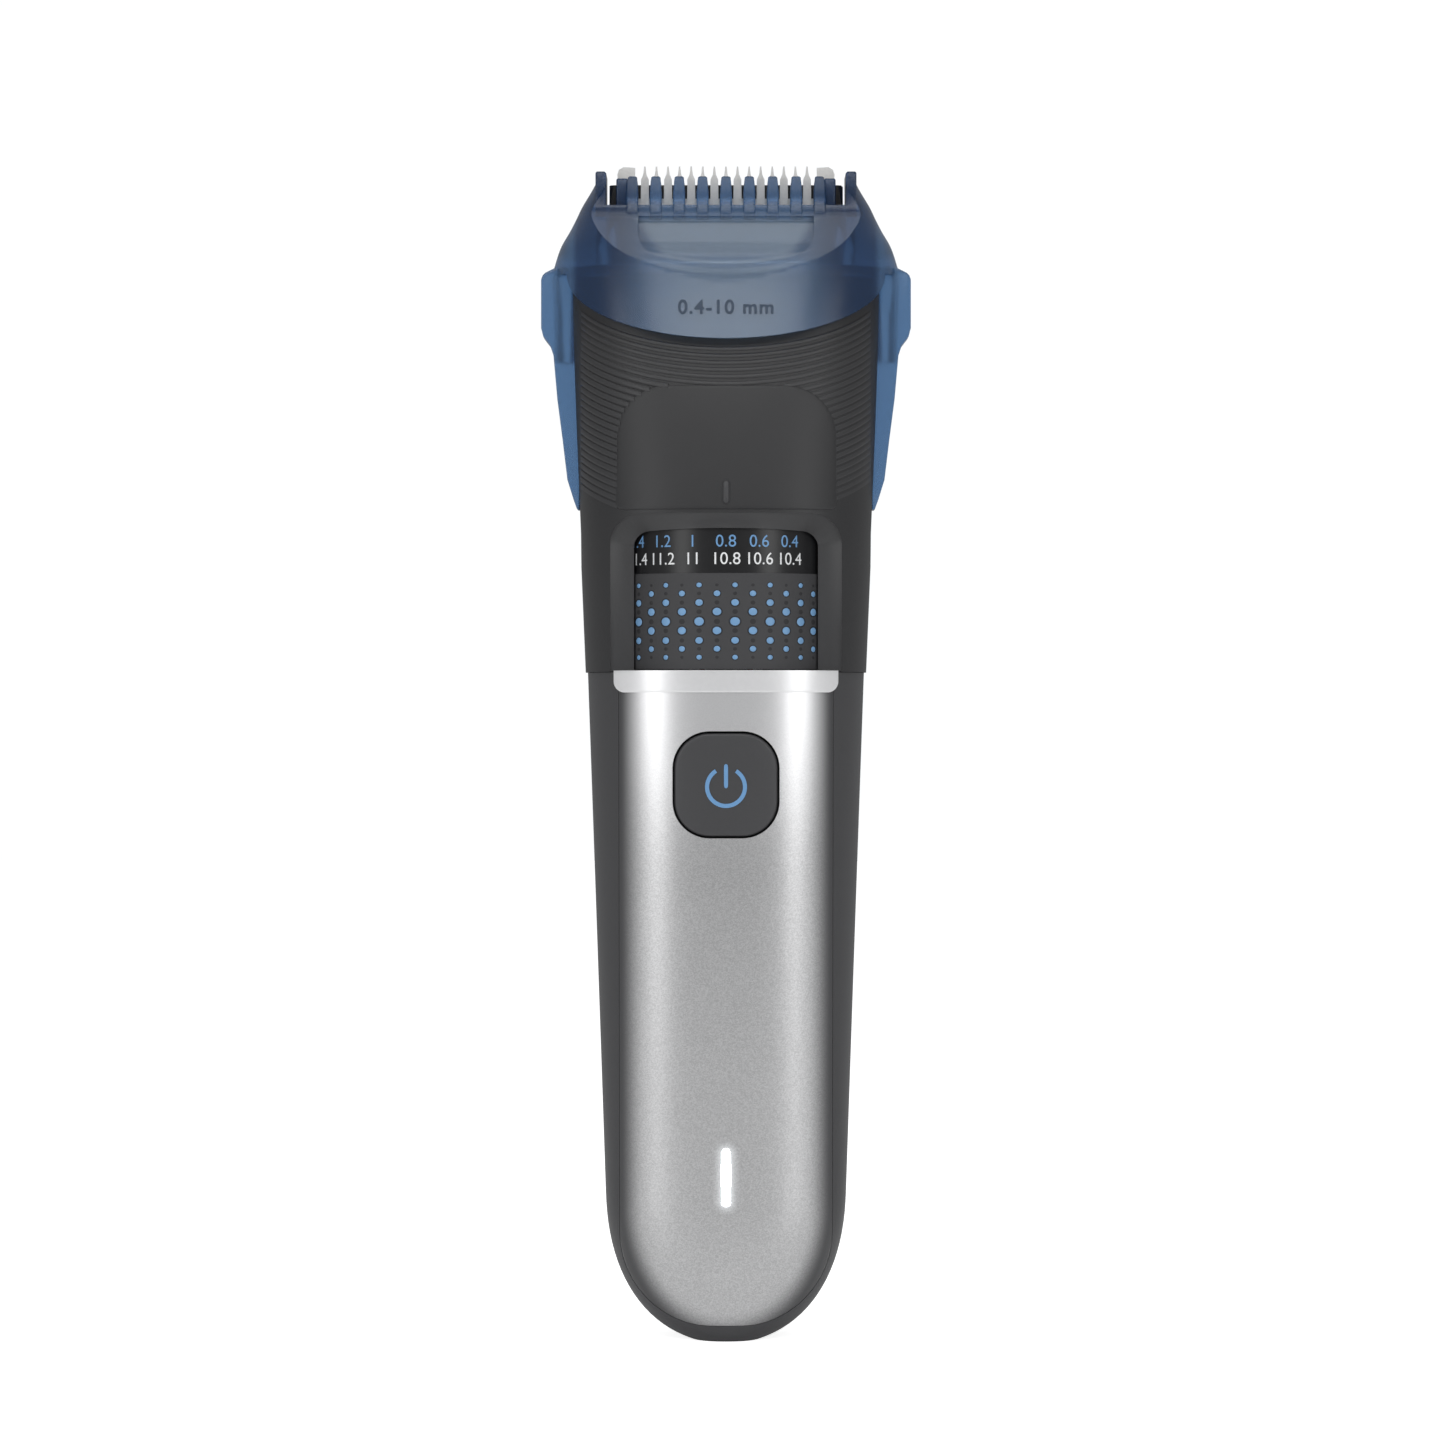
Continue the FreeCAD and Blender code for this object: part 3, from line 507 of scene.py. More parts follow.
def makeSilver():
    # fine metal flake, fading to dark grey at the sides, with a painted highlight that lightens it under the lip and
    # a painted glow of light round the light bar
    material = makeMaterial("silverPanel", (0.5, 0.5, 0.51), 0.34, 0.0, 6500, 0.025, 0.05)
    tree = material.node_tree
    shader, finish = tree.nodes["Principled BSDF"], tree.nodes["finish"]
    fade = tree.nodes.new("ShaderNodeGroup")
    fade.node_tree = fadeGroup
    mask = fade.outputs["Mask"]
    flake = tree.nodes.new("ShaderNodeTexVoronoi")
    flake.inputs["Scale"].default_value = 7000
    tree.links.new(tree.nodes.new("ShaderNodeTexCoord").outputs["Object"], flake.inputs["Vector"])
    light = tree.nodes.new("ShaderNodeSeparateColor")
    tree.links.new(flake.outputs["Color"], light.inputs[0])
    flakeAndHighlightColour = mixColour(tree, light.outputs[0], (0.46, 0.46, 0.465), (0.62, 0.62, 0.625))
    # painted highlight: Top turns the flake colour near white under the lip; painted glow: the panel emits light
    # round the light bar
    glow = tree.nodes.new("ShaderNodeGroup")
    glow.node_tree = makePanelPaintedLightGroup()
    flakeAndHighlightColour = mixColour(tree, glow.outputs["Top"], flakeAndHighlightColour, (0.90, 0.90, 0.91))
    tree.links.new(glow.outputs["PaintedGlow"], shader.inputs["Emission Strength"])
    shader.inputs["Emission Color"].default_value = (0.93, 0.97, 1.0, 1)
    colour = mixColour(tree, mask, (0.055, 0.055, 0.058), flakeAndHighlightColour)
    tree.links.new(colour, finish.inputs["Colour"])
    tree.links.new(math2(tree, "MULTIPLY", mask, 0.92), shader.inputs["Metallic"])
    return material


def makeCombPaintedLightGroup():
    # Mask is high in the tray, on the ridges and in the middle of the band, where painted highlights and painted
    # reflections go
    # Shade is 1 on the shoulders, where painted shade goes
    group, start, end = newGroup("combPaintedLight", [("Half Width", "NodeSocketFloat", 0.0138)],
                                 [("Mask", "NodeSocketFloat"), ("Shade", "NodeSocketFloat")])
    link = group.links.new
    x, y, z = splitPlace(group)
    across = math2(group, "ABSOLUTE", x, 0.0)
    # the tray narrows towards its lower end
    taper = math2(group, "MULTIPLY", math2(group, "SUBTRACT", z, 0.162), -0.6)
    side = math2(group, "SUBTRACT", math2(group, "ADD", across, taper), start.outputs["Half Width"])
    tray = math2(group, "MULTIPLY", ease(group, side, -0.0022, 0.0003, 1, 0), ease(group, z, 0.1553, 0.1568, 0, 1))
    tray = math2(group, "MULTIPLY", tray, ease(group, z, 0.1618, 0.1625, 1, 0))
    middle = ease(group, across, 0.003, 0.018, 0.75, 0)
    band = math2(group, "MULTIPLY", middle, ease(group, z, 0.153, 0.1565, 1, 0.35))
    low = ease(group, z, 0.1615, 0.1622, 1, 0)
    paintedHighlight = math2(group, "MAXIMUM", tray, math2(group, "MULTIPLY", band, low))
    # two painted highlight lines along the ridges under the tray, each curving up to the sides
    bow = math2(group, "MULTIPLY", math2(group, "MULTIPLY", across, across), 13.0)
    height = math2(group, "SUBTRACT", z, bow)
    for centre, half in ((0.1551, 0.0005), (0.1537, 0.0009)):
        off = math2(group, "ABSOLUTE", math2(group, "SUBTRACT", height, centre), 0.0)
        ridge = math2(group, "MULTIPLY", ease(group, off, 0, half, 1.5, 0), ease(group, across, 0.004, 0.015, 1, 0))
        paintedHighlight = math2(group, "MAXIMUM", paintedHighlight, ridge)
    link(paintedHighlight, end.inputs["Mask"])
    shade = math2(group, "MULTIPLY", ease(group, across, 0.009, 0.017, 0, 1),
                  ease(group, across, 0.0213, 0.0225, 1, 0))
    link(math2(group, "MULTIPLY", shade, ease(group, z, 0.140, 0.144, 0, 1)), end.inputs["Shade"])
    return group


def paintCombLight(material):
    tree = material.node_tree
    tone = tree.nodes.new("ShaderNodeGroup")
    tone.node_tree = makeCombPaintedLightGroup()
    # painted shade darkens the shoulders; painted highlights and reflections lighten the tray, the ridges and the
    # middle of the band
    base = mixColour(tree, tone.outputs["Shade"], (0.10, 0.205, 0.38), (0.03, 0.075, 0.18))
    colour = mixColour(tree, tone.outputs["Mask"], base, (0.32, 0.42, 0.55))
    tree.links.new(colour, tree.nodes["finish"].inputs["Colour"])
    return material


def makeGlow():
    material = makeMaterial("lightPipe", (0.95, 0.97, 1.0), 0.3, bump=0.03)
    shader = material.node_tree.nodes["Principled BSDF"]
    shader.inputs["Emission Color"].default_value = (0.93, 0.97, 1.0, 1)
    shader.inputs["Emission Strength"].default_value = 2.6
    return material


materials = {
    "silver": makeSilver(),
    "shell": makeMaterial("greyShell", (0.050, 0.050, 0.053), 0.45, grain=3600, bump=0.12),
    "upper": makeMaterial("blackHousing", (0.025, 0.025, 0.0265), 0.45, grain=3600, bump=0.14),
    "rib": makeMaterial("gripRibs", (0.036, 0.036, 0.038), 0.42, grain=3600, bump=0.1),
    "bezel": makeMaterial("windowBezel", (0.046, 0.046, 0.048), 0.36, grain=3000, bump=0.06),
    "trim": makeMaterial("brightTrim", (0.84, 0.84, 0.85), 0.32, 0.5, grain=1500, variation=0.03, bump=0.02),
    "wheel": makeMaterial("wheelRubber", (0.045, 0.045, 0.048), 0.6, grain=2600, bump=0.16),
    # darker than the wheel rubber: painted shade standing for the dimples' hollows
    "dimple": makeMaterial("wheelDimples", (0.02, 0.02, 0.022), 0.6, grain=2600, bump=0.1),
    "dot": makeMaterial("wheelDots", (0.17, 0.335, 0.56), 0.42, grain=2600, bump=0.08),
    "dotRim": makeMaterial("dotRims", (0.012, 0.013, 0.016), 0.5, grain=2600, bump=0.08),
    "ring": makeMaterial("glossRing", (0.010, 0.010, 0.011), 0.3, grain=1500, variation=0.02, bump=0.02),
    "blueInk": makeMaterial("blueInk", (0.15, 0.32, 0.57), 0.4, grain=4000, bump=0.05),
    "whiteInk": makeMaterial("whiteInk", (0.78, 0.79, 0.80), 0.4, grain=4000, bump=0.05),
    "darkInk": makeMaterial("darkInk", (0.03, 0.05, 0.085), 0.5, grain=4000, bump=0.05),
    "button": makeMaterial("buttonPlastic", (0.052, 0.052, 0.055), 0.45, grain=3200, bump=0.1),
    "glow": makeGlow(),
    "comb": paintCombLight(makeMaterial("combBlue", (0.10, 0.205, 0.38), 0.25, grain=1400, variation=0.05, bump=0.03,
                                   transmission=0.7, ior=1.46)),
    "blade": makeMaterial("bladeSteel", (0.74, 0.735, 0.72), 0.36, 0.55, grain=2400, variation=0.08, bump=0.05),
    "rubber": makeMaterial("sealRubber", (0.02, 0.02, 0.02), 0.7, grain=2000, bump=0.2),
    "spring": makeMaterial("springSteel", (0.55, 0.55, 0.56), 0.3, 1.0, grain=2400, bump=0.05),
    "motor": makeMaterial("motorSteel", (0.52, 0.52, 0.53), 0.32, 1.0, grain=1800, bump=0.08),
    "brass": makeMaterial("contactBrass", (0.78, 0.57, 0.27), 0.28, 1.0, grain=1800, bump=0.05),
    "board": makeMaterial("boardGreen", (0.02, 0.13, 0.06), 0.4, grain=1600, bump=0.1),
    "battery": makeMaterial("batteryWrap", (0.05, 0.15, 0.32), 0.35, grain=1400, bump=0.06),
    "frame": makeMaterial("framePlastic", (0.05, 0.05, 0.053), 0.5, grain=2600, bump=0.12),
    "lead": makeMaterial("leadInsulation", (0.16, 0.02, 0.02), 0.45, grain=2600, bump=0.08),
    "switch": makeMaterial("switchBlack", (0.02, 0.02, 0.02), 0.4, grain=2600, bump=0.08),
}


def dress(piece, material, rides=None, stands=None):
    piece.data.materials.clear()
    piece.data.materials.append(materials[material])
    if rides:
        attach(piece, rides)
    if stands:
        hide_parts(*stands)
    return piece


# lower handle
def makeHandle():
    endLevels = [body["endHeight"] * (1 - math.cos(math.pi / 2 * i / 22)) for i in range(23)]
    outer = loft("handleOuter", handleSize, endLevels + spread(body["endHeight"], body["seam"], 48)[1:], 160)
    insideEnd = [body["floor"] + (body["endHeight"] - body["floor"]) * (1 - math.cos(math.pi / 2 * i / 12))
                 for i in range(13)]
    inner = loft("handleHollow", handleInside, insideEnd + spread(body["endHeight"], body["seam"] + 1, 24)[1:], 96)
    shell = combine(outer, inner)
    lipCutter = frontPrism("lipCutter", lip["half"], lip["bottom"], body["seam"] + 6, ahead, -1, lip["corner"])
    combine(shell, lipCutter)
    half = panel["half"]
    panelTop = lip["bottom"] + 30
    opening = frontPrism("panelOpening", half, panel["bottom"], panelTop, ahead, -1, panel["corner"])
    half -= panel["seamGap"]
    inset = frontPrism("panelInset", half, panel["bottom"] + panel["seamGap"], panelTop, ahead, -1, panel["corner"])
    front = copyOf(shell, "silverFront")
    housing = combine(shell, opening)
    half, depth = body["socketHalf"], body["socketDepth"]
    combine(housing, cube("socketHole", -half, half, -depth, depth, -1, 10))
    housing.name = "handleShell"
    combine(front, inset, "INTERSECT")
    gap = button["half"] + button["gap"]
    hole = frontPrism("buttonHole", gap, button["z"] - gap, button["z"] + gap, ahead, -9,
                      button["corner"] + button["gap"])
    combine(front, hole)
    slot = frontPrism("lightSlot", lightBar["half"] + 0.06, lightBar["low"] - 0.06, lightBar["high"] + 0.06,
                      ahead, -9.4, lightBar["half"])
    combine(front, slot)
    for piece in (housing, front):
        smooth(facesOut(piece), 30)
    dress(housing, "shell", "handle", ["handle_housing"])
    dress(front, "silver", "handle", ["front_panel"])


def makeLip():
    levels = spread(lip["bottom"] - 1.5, body["seam"] + lip["over"], 10)
    trim = loft("sillLip", proudSize, levels, 160)
    combine(trim, loft("lipCore", handleInside, spread(lip["bottom"] - 3, body["seam"] + 1, 8), 96))
    prism = frontPrism("lipShape", lip["half"], lip["bottom"], body["seam"] + 6, ahead, -1, lip["corner"])
    combine(trim, prism, "INTERSECT")
    smooth(softened(facesOut(trim), 0.22, 3), 40)
    dress(trim, "trim", "handle", ["sill_trim"])


def makeButton():
    outline = roundedOutline(button["half"], button["half"], button["corner"], 0, button["z"])

    def surface(x, z):
        return frontAt(handleSize, x, z)
    rings = [(1, 0.6), (1, 0.35), (0.99, 0.14), (0.972, 0.03), (0.94, 0), (0.8, 0), (0.6, 0), (0.4, 0), (0.2, 0)]
    cap = pad("buttonCap", outline, rings, surface, 2.0)
    stem = button["stem"]
    flange = cube("buttonFlange", -stem, stem, -12.7, -12.0, button["z"] - stem, button["z"] + stem)
    cap = joined([cap, roundCorners(flange, 5.5)], "buttonCap")
    smooth(cap, 40)
    dress(cap, "button", "button", ["power_button"])
    radius, stroke = button["iconRadius"], button["stroke"]

    def arc(u, v):
        angle = math.radians(122 + 296 * u)
        reach = radius + stroke * (v - 0.5)
        x, z = reach * math.cos(angle), button["z"] - 0.3 + reach * math.sin(angle)
        return x, surface(x, z) - 0.035, z
    ring = patch("iconRing", 72, 4, arc, 0.03)

    def bar(u, v):
        taper = math.sqrt(max(1 - (2 * abs(u - 0.5)) ** 10, 0))
        x, z = stroke * (v - 0.5) * taper, button["z"] - 0.5 + 3.5 * u
        return x, surface(x, z) - 0.035, z
    ring = facesOut(joined([ring, patch("iconBar", 24, 4, bar, 0.03)], "powerIcon"))
    dress(smooth(ring), "blueInk", "button")


def makeLight():
    middle = (lightBar["low"] + lightBar["high"]) / 2
    outline = roundedOutline(lightBar["half"], (lightBar["high"] - lightBar["low"]) / 2, lightBar["half"] - 0.01, 0,
                             middle)
    rings = [(1, 0.1), (0.93, 0.02), (0.8, 0), (0.5, 0), (0.2, 0)]
    bar = pad("lightBar", outline, rings, lambda x, z: frontAt(handleSize, x, z), 2.2, 64)
    dress(smooth(bar, 50), "glow", "handle", ["light_pipe"])


# upper housing with its window frame and ribs
def makeUpper():
    levels = spread(body["seam"] + 0.06, body["shoulder"], 52) + spread(body["shoulder"], body["top"], 6)[1:]
    shell = loft("upperShell", upperSize, levels, 192)
    combine(shell, loft("upperHollow", upperInside, spread(body["seam"] - 1, 150, 24), 96))
    combine(shell, loft("headHole", headSize, spread(144, 160, 10), 96, 4.0))
    hole = frontPrism("windowHole", window["outer"], 60, window["outerTop"], ahead, -5, window["outerCorner"])
    combine(shell, hole)
    combine(shell, cylinder("wheelRoom", 16.8, body["seam"] - 1, wheel["ringTop"] + 0.4, 0, wheel["axis"]))
    for side in (-1, 1):
        low, high = sorted((side * groove["inner"], side * 30))
        combine(shell, cube("armGroove", low, high, -groove["half"], groove["half"], groove["low"], 160))
        low, high = sorted((side * groove["earInner"], side * 30))
        ear = groove["earHalf"]
        combine(shell, cube("earSlot", low, high, -ear, ear, groove["earLow"], groove["earHigh"]))
    smooth(facesOut(shell), 30)
    dress(shell, "upper", "handle", ["upper_housing"])


def archPoint(half, top, corner, u):
    # u runs up the left side, over the top and down the right side; the stops are where the corners begin and end
    low = body["seam"] + 0.1
    side, bar = top - corner - low, 2 * (half - corner)
    stops = [0.36, 0.46, 0.54, 0.64, 1.0]
    if u < stops[0]:
        return -half, low + side * u / stops[0]
    if u < stops[1]:
        angle = math.pi - math.pi / 2 * (u - stops[0]) / (stops[1] - stops[0])
        return -half + corner + corner * math.cos(angle), top - corner + corner * math.sin(angle)
    if u < stops[2]:
        return -half + corner + bar * (u - stops[1]) / (stops[2] - stops[1]), top
    if u < stops[3]:
        angle = math.pi / 2 - math.pi / 2 * (u - stops[2]) / (stops[3] - stops[2])
        return half - corner + corner * math.cos(angle), top - corner + corner * math.sin(angle)
    return half, top - corner - side * (u - stops[3]) / (1 - stops[3])


def makeBezel():
    def place(u, v):
        outerX, outerZ = archPoint(window["outer"] + 0.25, window["outerTop"] + 0.25, window["outerCorner"], u)
        innerX, innerZ = archPoint(window["inner"], window["innerTop"], window["innerCorner"], u)
        innerZ -= 0.5 * (innerX / window["inner"]) ** 2 * max(0, (innerZ - 112) / 5)
        outerY = frontAt(upperSize, outerX, outerZ) + 0.04
        innerY = wheel["axis"] - math.sqrt((wheel["room"] + 0.1) ** 2 - innerX ** 2)
        x = outerX + (innerX - outerX) * v
        z = outerZ + (innerZ - outerZ) * v
        return x, outerY + (innerY - outerY) * v + 0.12 * math.sin(math.pi * v), z
    bezel = patch("windowBezel", 200, 8, place)
    facesOut(bezel)
    if bezel.data.polygons[0].normal.y > 0:
        editAll(bezel)
        bpy.ops.mesh.flip_normals()
        finishEdit()
    applied(bezel, "SOLIDIFY", thickness=0.7 * mm, offset=-1)
    # room for the dots and numbers of the wheel to pass behind the rim
    room = cylinder("bezelRoom", wheel["room"], body["seam"] - 1, wheel["ringTop"] + 0.6, 0, wheel["axis"])
    combine(bezel, room)
    smooth(bezel, 50)
    dress(bezel, "bezel", "handle")
    # small raised mark above the window on a dark rim
    for name, half, high, edge, top, share, finish in (
            ("markRim", mark["rimHalf"], mark["rimHigh"], -0.19, -0.25, 0.96, "dimple"),
            ("settingMark", mark["half"], mark["high"], -0.24, -0.33, 0.9, "shell")):
        outline = roundedOutline(half, high, half - 0.01, 0, mark["z"])
        rings = [(1, edge), (share, top), (0.5, top), (0.2, top)]
        piece = pad(name, outline, rings, lambda x, z: frontAt(upperSize, x, z), 0.3, 64)
        dress(smooth(piece, 50), finish, "handle")


def shieldEdge(z):
    top, corner, half = ribs["shieldTop"], ribs["shieldCorner"], ribs["shieldHalf"]
    if z >= top:
        return 0
    if z > top - corner:
        return half - corner + math.sqrt(corner ** 2 - (z - top + corner) ** 2)
    return half


def bandEdge(x):
    return band["centre"] - band["drop"] * math.sqrt(max(1 - (x / band["half"]) ** 2, 0))


def makeShield():
    # smooth raised plate between the window and the ribs
    low, high = window["outerTop"] + 0.5, ribs["shieldTop"]
    outline = roundedOutline(ribs["shieldHalf"], (high - low) / 2, ribs["shieldCorner"], 0, (high + low) / 2, 1.0)
    rings = [(1, -0.06), (0.996, -0.16)]
    rings += [(share, -ribs["height"]) for share in (0.985, 0.95, 0.85, 0.7, 0.55, 0.4, 0.25, 0.1)]
    plate = pad("gripShield", outline, rings, lambda x, z: frontAt(upperSize, x, z), 0.4, 240)
    dress(smooth(plate, 40), "upper", "handle")


def makeRibs():
    strips = []
    end = ribs["end"]
    for k in range(ribs["first"], ribs["last"]):
        fade = min(1, (ribs["last"] - k) / 8)
        drop = ribs["drop"] + ribs["pitch"] * k

        def line(x, v):
            z = bandEdge(x) - drop + ribs["width"] * (v - 0.5)
            lift = ribs["height"] * fade * math.sqrt(max(1 - (2 * v - 1) ** 4, 0))
            return x, frontAt(upperSize, x, z) - lift + 0.03, z
        # each strip starts a little inside the edge of the plate
        start = 0
        while start < 20.6 and start < shieldEdge(bandEdge(start) - drop):
            start += 0.2
        if start >= 20.4:
            continue
        start = max(start - 0.5, 0)
        if start == 0:
            strips.append(patch("rib", 110, 6, lambda u, v: line(end * (2 * u - 1), v), 0.1))
        else:
            for side in (-1, 1):
                strips.append(patch("rib", 26, 6, lambda u, v: line(side * (start + (end - start) * u), v), 0.1))
    grip = joined(strips, "gripRibs")
    smooth(facesOut(grip), 60)
    dress(grip, "rib", "handle")


# wheel with its dots and numbers
def wrapOnWheel(piece, radius, angle, centreZ):
    for vertex in piece.data.vertices:
        turn = math.radians(angle) + vertex.co.x / (radius * mm)
        reach = radius * mm + vertex.co.z
        vertex.co = (reach * math.cos(turn), wheel["axis"] * mm + reach * math.sin(turn), centreZ * mm + vertex.co.y)
    return piece


def makeDots():
    # blue dots on dark rims take turns with small dimples, drawn as flat spots whose dark colour is painted shade for
    # their hollows
    groups = {"dot": [], "dotRim": [], "dimple": []}
    pitch = 360 / wheel["columns"]
    for column in range(wheel["columns"]):
        angle = -90 + pitch * column + pitch / 2
        for row, (z, half) in enumerate(zip(wheel["dotRows"], wheel["dotSizes"])):
            kinds = [("dimple", 0.6, 0.02)]
            if (column + row) % 2 == 0:
                kinds = [("dotRim", 1.28, 0.03), ("dot", 1.0, 0.09)]
            for kind, share, height in kinds:
                bpy.ops.mesh.primitive_uv_sphere_add(segments=14, ring_count=6, radius=1)
                dot = bpy.context.object
                dot.scale = (half * share * mm, half * share * 0.86 * mm, height * mm)
                bpy.ops.object.transform_apply(location=True, rotation=True, scale=True)
                groups[kind].append(wrapOnWheel(dot, wheel["radius"], angle, z))
    for kind, name in (("dot", "wheelDots"), ("dotRim", "dotRims"), ("dimple", "wheelDimples")):
        dress(smooth(joined(groups[kind], name)), kind, "wheel")


def textMesh(words, size, name, weight=0.0, spacing=1.02):
    bpy.ops.object.select_all(action="DESELECT")
    bpy.ops.object.text_add(location=(0, 0, 0))
    text = bpy.context.object
    text.name = name
    text.data.body = words
    text.data.size = size * mm
    text.data.align_x = "CENTER"
    text.data.align_y = "CENTER"
    text.data.extrude = 0.012 * mm
    text.data.offset = weight * mm
    text.data.space_character = spacing
    bpy.ops.object.convert(target="MESH")
    text = bpy.context.object
    editAll(text)
    bpy.ops.mesh.remove_doubles(threshold=0.0000005)
    bpy.ops.mesh.quads_convert_to_tris()
    finishEdit()
    return text


def makeNumbers():
    # the white row counts ten more than the blue one
    settings = [0.4, 0.6, 0.8, 1, 1.2, 1.4, 1.6, 1.8, 2, 2.5, 3, 3.5, 4, 4.5, 5, 6, 7, 8, 9, 10]
    for more, z, ink, name in ((0, wheel["blueRow"], "blueInk", "blueNumbers"),
                               (10, wheel["whiteRow"], "whiteInk", "whiteNumbers")):
        labels = []
        for i, setting in enumerate(settings):
            angle = -90 - wheel["step"] * (i - wheel["restLabel"])
            label = textMesh(f"{setting + more:g}", wheel["textSize"], "label")
            labels.append(wrapOnWheel(label, wheel["ringRadius"] + 0.04, angle, z))
        dress(joined(labels, name), ink, "wheel")


# comb
def combSize(z):
    width, front = between(comb["profile"], z)
    return width, front, comb["rear"]


def combHousingRoom(z):
    width, front, rear = upperSize(z - comb["drop"])
    clear = comb["clear"]
    return max(width, upperSize(body["shoulder"])[0]) + clear, front - clear, rear + clear


def combHeadRoom(z):
    front, rear = between(body["headDepths"], z)
    return comb["hornInner"], front - comb["headClear"], rear + comb["headClear"]


def sidePrism(name, outline, x0, x1):
    # outline of (y, z) corners carried from x0 to x1
    bpy.ops.object.select_all(action="DESELECT")
    bpy.ops.mesh.primitive_circle_add(vertices=len(outline), radius=1)
    piece = bpy.context.object
    piece.name = name
    for vertex, (y, z) in zip(piece.data.vertices, outline):
        vertex.co = (x0 * mm, y * mm, z * mm)
    editAll(piece)
    bpy.ops.mesh.edge_face_add()
    bpy.ops.mesh.extrude_region_move(TRANSFORM_OT_translate={"value": ((x1 - x0) * mm, 0, 0)})
    finishEdit()
    return facesOut(piece)


def frontOutline(name, outline, y0, y1):
    # outline of (x, z) corners carried from y0 to y1
    piece = sidePrism(name, outline, y0, y1)
    for vertex in piece.data.vertices:
        depth, x, z = vertex.co
        vertex.co = (x, depth, z)
    return facesOut(piece)


def combArm(side):
    inner, half = comb["armInner"] - 0.06, comb["armHalf"]
    outline = [(inner, 120.1), (21.6, 120.1), (22.1, 121.5), (23.0, 124.4), (23.7, 130.3), (24.45, 136.1),
               (25.0, 142.4), (25.5, 143.9), (26.5, 145.2), (26.8, 146.4), (26.8, 153.4), (26.6, 154.0),
               (26.2, 154.4), (24.6, 155.2), (inner, 153.9)]
    arm = frontOutline("combArm", [(side * x, z) for x, z in outline], -half, half)
    tapered = [(-half, 132), (-3.1, 123.5), (-2.7, 120.8), (-2.2, 120.0), (2.2, 120.0), (2.7, 120.8), (3.1, 123.5),
               (half, 132), (half, 156), (-half, 156)]
    low, high = sorted((side * 20, side * 28))
    combine(arm, sidePrism("armTaper", tapered, low, high), "INTERSECT")
    return softened(facesOut(arm), 0.35, 3, 25)


def combFins():
    outline = [(-5.6, 161.9), (-4.4, 161.9), (-4.2, 162.7), (-2.95, 162.7), (-2.95, 164.4), (-2.1, 165.2),
               (-2.1, 167.4), (-2.3, 168.1), (-2.7, comb["finTop"]), (-3.3, 168.35), (-3.8, 167.7), (-4.6, 166.0),
               (-5.2, 164.6)]
    fins = []
    for i in range(comb["fins"]):
        x = (i - (comb["fins"] - 1) / 2) * comb["finPitch"]
        fin = sidePrism("fin", outline, x - comb["finWidth"] / 2, x + comb["finWidth"] / 2)
        # bullet shape: each fin narrows at its tip
        for vertex in fin.data.vertices:
            above = max(vertex.co.z / mm - comb["finTaper"], 0) / 0.9
            vertex.co.x = (x + (vertex.co.x / mm - x) * (1 - 0.4 * above ** 2)) * mm
        fins.append(softened(facesOut(fin), 0.25, 3, 30))
    for side in (-1, 1):
        low, high = sorted((side * 14.2, side * 15.9))
        fins.append(softened(cube("sheet", low, high, -3.6, -2.4, 163, 168.1), 0.3, 3))
        fins.append(cube("sheetFoot", low, high, -4.6, -2.95, 162.7, 164.1))
        low, high = sorted((side * comb["hornInner"], side * 18.9))
        fins.append(softened(cube("hornBlade", low, high, -4.6, -2.0, 161.9, 169.0), 0.3, 3))
    return fins


def makeComb():
    levels = spread(140, 154.2, 18) + spread(154.2, 169.0, 34)[1:]
    shell = loft("combShell", combSize, levels, 192)
    above = [(ahead, comb["slope"][0][1])] + comb["slope"] + [(ahead, comb["slope"][-1][1])]
    combine(shell, sidePrism("aboveSlope", above, -40, 40))
    combine(shell, loft("housingRoom", combHousingRoom, spread(138, body["top"] + comb["drop"], 16), 128))
    combine(shell, loft("headRoom", combHeadRoom, spread(150, 162.7, 16), 96, 4.0))
    edge = cube("bandEdge", -40, 40, ahead, -comb["armHalf"], 100, band["centre"])
    ellipse = cylinder("bandEllipse", 1, -40, 40, vertices=256)
    activate(ellipse)
    ellipse.rotation_euler = (math.radians(90), 0, 0)
    ellipse.scale = (band["half"], band["drop"], 1)
    ellipse.location = (0, 0, band["centre"] * mm)
    bpy.ops.object.transform_apply(location=True, rotation=True, scale=True)
    combine(edge, ellipse)
    combine(shell, edge)
    horn = comb["hornInner"]
    cutters = [cube("below", -40, 40, -comb["armHalf"], 30, 120, 141.8),
               cube("behind", -40, 40, comb["back"], 30, 120, 180),
               cube("mouth", -horn, horn, -3, 30, 150, 180),
               cube("overWall", -horn, horn, ahead, 30, comb["slotBottom"], 180)]
    for side in (-1, 1):
        low, high = sorted((side * 15.3, side * comb["armInner"]))
        cutters.append(cube("armRoom", low, high, -6.3, 6.3, 118, 153.9))
        low, high = sorted((side * comb["hornOuter"], side * 24))
        cutters.append(cube("hornBack", low, high, 4, 30, 156, 180))
    half = comb["trayHalf"]
    trayFloor = [(-11.9, 156.6), (-11.3, 156.5), (-8.6, 158.6), (-5.5, 161.7), (-5.5, 162.4), (-14, 162.4),
                 (-14, 156.6)]
    tray = sidePrism("tray", trayFloor, -half, half)
    trayShape = frontPrism("trayShape", half, 155.9, 172, ahead, 0, comb["trayCorner"])
    cutters.append(combine(tray, trayShape, "INTERSECT"))
    for cutter in cutters:
        combine(shell, cutter)
    for side in (-1, 1):
        combine(shell, combArm(side), "UNION")
    shell.name = "combBody"
    smooth(facesOut(shell), 32)
    dress(shell, "comb", "comb", ["comb"])
    fins = joined(combFins(), "combFins")
    dress(smooth(facesOut(fins)), "comb", "comb")
    words = textMesh("0.4-10 mm", comb["textSize"], "rangeMarking", 0.05, 1.12)
    for vertex in words.data.vertices:
        x, z = vertex.co.x / mm, comb["textZ"] + vertex.co.y / mm
        vertex.co = (x * mm, (frontAt(combSize, x, z) - 0.1) * mm - vertex.co.z, z * mm)
    dress(facesOut(words), "darkInk", "comb")


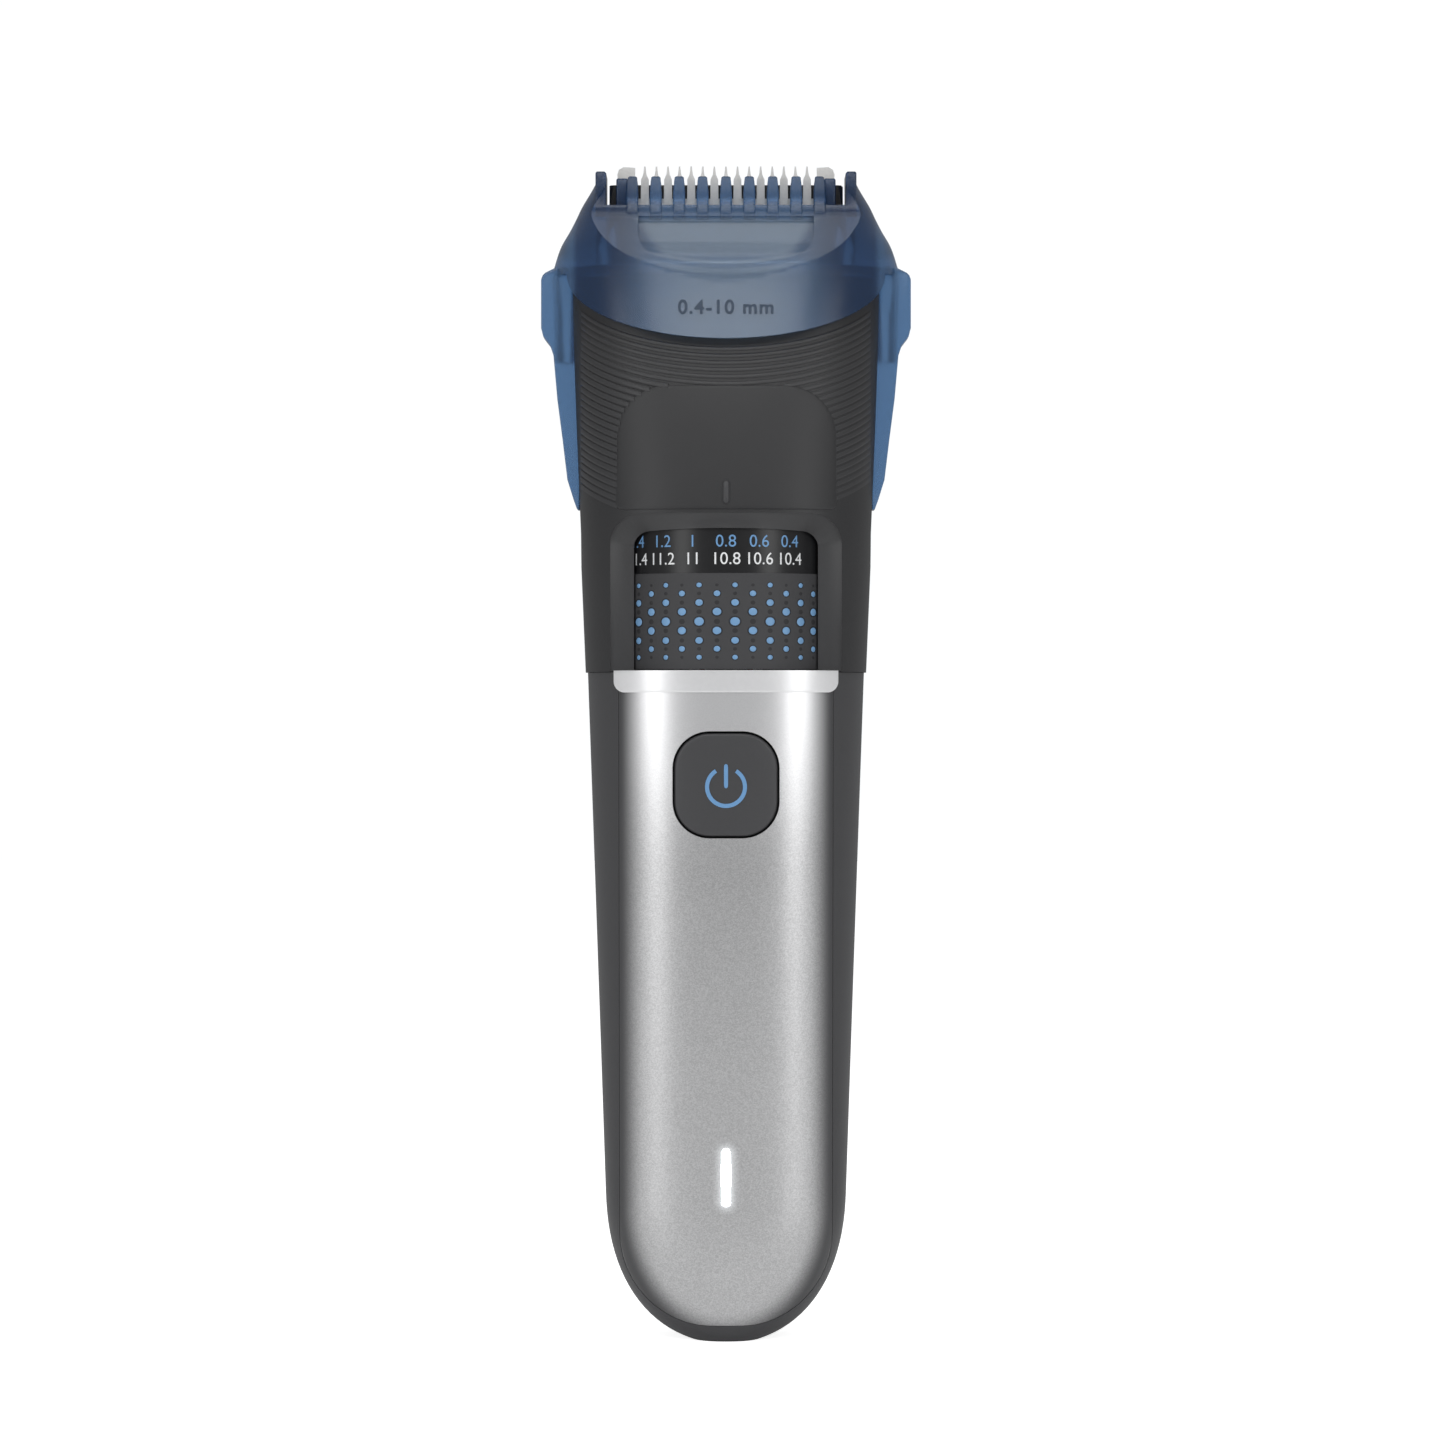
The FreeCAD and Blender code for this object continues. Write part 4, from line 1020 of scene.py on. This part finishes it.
# the material for each CAD solid, by the name of its slot
finishes = {
    "grey_shell": "shell", "black_housing": "upper", "bright_trim": "trim", "wheel_rubber": "wheel",
    "ring_gloss": "ring", "comb_blue": "comb", "blade_steel": "blade", "button_plastic": "button",
    "seal_rubber": "rubber", "light_white": "glow", "spring_steel": "spring", "motor_steel": "motor",
    "contact_brass": "brass", "board_green": "board", "battery_wrap": "battery", "frame_plastic": "frame",
    "lead_insulation": "lead", "screw_steel": "spring", "switch_black": "switch", "silver_panel": "silver",
}


def dressSolids():
    for node in nodes.values():
        slotName = node.data.materials[0].name.split(".")[0] if node.data.materials else "frame_plastic"
        node.data.materials.clear()
        node.data.materials.append(materials[finishes.get(slotName, "frame")])
        node.data.polygons.foreach_set("use_smooth", [True] * len(node.data.polygons))
        weld = node.modifiers.new("weld", "WELD")
        weld.merge_threshold = 0.000005
        split = node.modifiers.new("edges", "EDGE_SPLIT")
        split.split_angle = math.radians(33)


# studio
def softbox(name, place, aim, size, power):
    data = bpy.data.lights.new(name, "AREA")
    data.shape = "RECTANGLE"
    data.size, data.size_y = size
    data.energy = power
    lamp = bpy.data.objects.new(name, data)
    bpy.context.scene.collection.objects.link(lamp)
    lamp.location = place
    direction = [a - b for a, b in zip(aim, place)]
    lamp.rotation_euler = Vector(direction).to_track_quat("-Z", "Y").to_euler()


def makeStudio():
    bpy.ops.object.select_all(action="DESELECT")
    bpy.ops.mesh.primitive_plane_add(size=3, location=(0, 1.2, 0))
    floor = bpy.context.object
    floor.name = "studioFloor"
    paper = makeMaterial("studioPaper", (0.9, 0.9, 0.9), 0.8, grain=300, variation=0.01, bump=0.02)
    shader = paper.node_tree.nodes["Principled BSDF"]
    shader.inputs["Emission Color"].default_value = (1, 1, 1, 1)
    tree = paper.node_tree
    seen = tree.nodes.new("ShaderNodeLightPath").outputs["Is Camera Ray"]
    strength = math2(tree, "ADD", math2(tree, "MULTIPLY", seen, studio["floorSeen"]), studio["floorGlow"])
    tree.links.new(strength, shader.inputs["Emission Strength"])
    floor.data.materials.append(paper)
    # the room is dim around the object and white behind it
    world = bpy.data.worlds.new("studio")
    bpy.context.scene.world = world
    world.use_nodes = True
    tree = world.node_tree
    background = tree.nodes["Background"]
    background.inputs["Color"].default_value = (0.95, 0.96, 0.97, 1)
    path = tree.nodes.new("ShaderNodeLightPath")
    seen = math2(tree, "MAXIMUM", path.outputs["Is Camera Ray"], path.outputs["Is Transmission Ray"])
    strength = math2(tree, "ADD", math2(tree, "MULTIPLY", seen, studio["backdrop"]), studio["room"])
    tree.links.new(strength, background.inputs["Strength"])
    for name, box in studio["boxes"].items():
        softbox(name, *box)
    camera = bpy.data.cameras.new("frontCamera")
    camera.lens = studio["lens"]
    camera.sensor_width = 36
    camera.dof.use_dof = False
    view = bpy.data.objects.new("frontCamera", camera)
    bpy.context.scene.collection.objects.link(view)
    view.location = studio["camera"]
    view.rotation_euler = (math.radians(90), 0, 0)
    bpy.context.scene.camera = view
    bpy.context.scene.view_settings.view_transform = "Standard"


dressSolids()
print("solids dressed")
makeHandle()
makeLip()
print("handle")
makeButton()
makeLight()
print("button and light")
makeUpper()
makeBezel()
makeShield()
makeRibs()
print("upper housing")
makeDots()
makeNumbers()
print("wheel")
makeComb()
print("comb")
makeStudio()
print("studio")
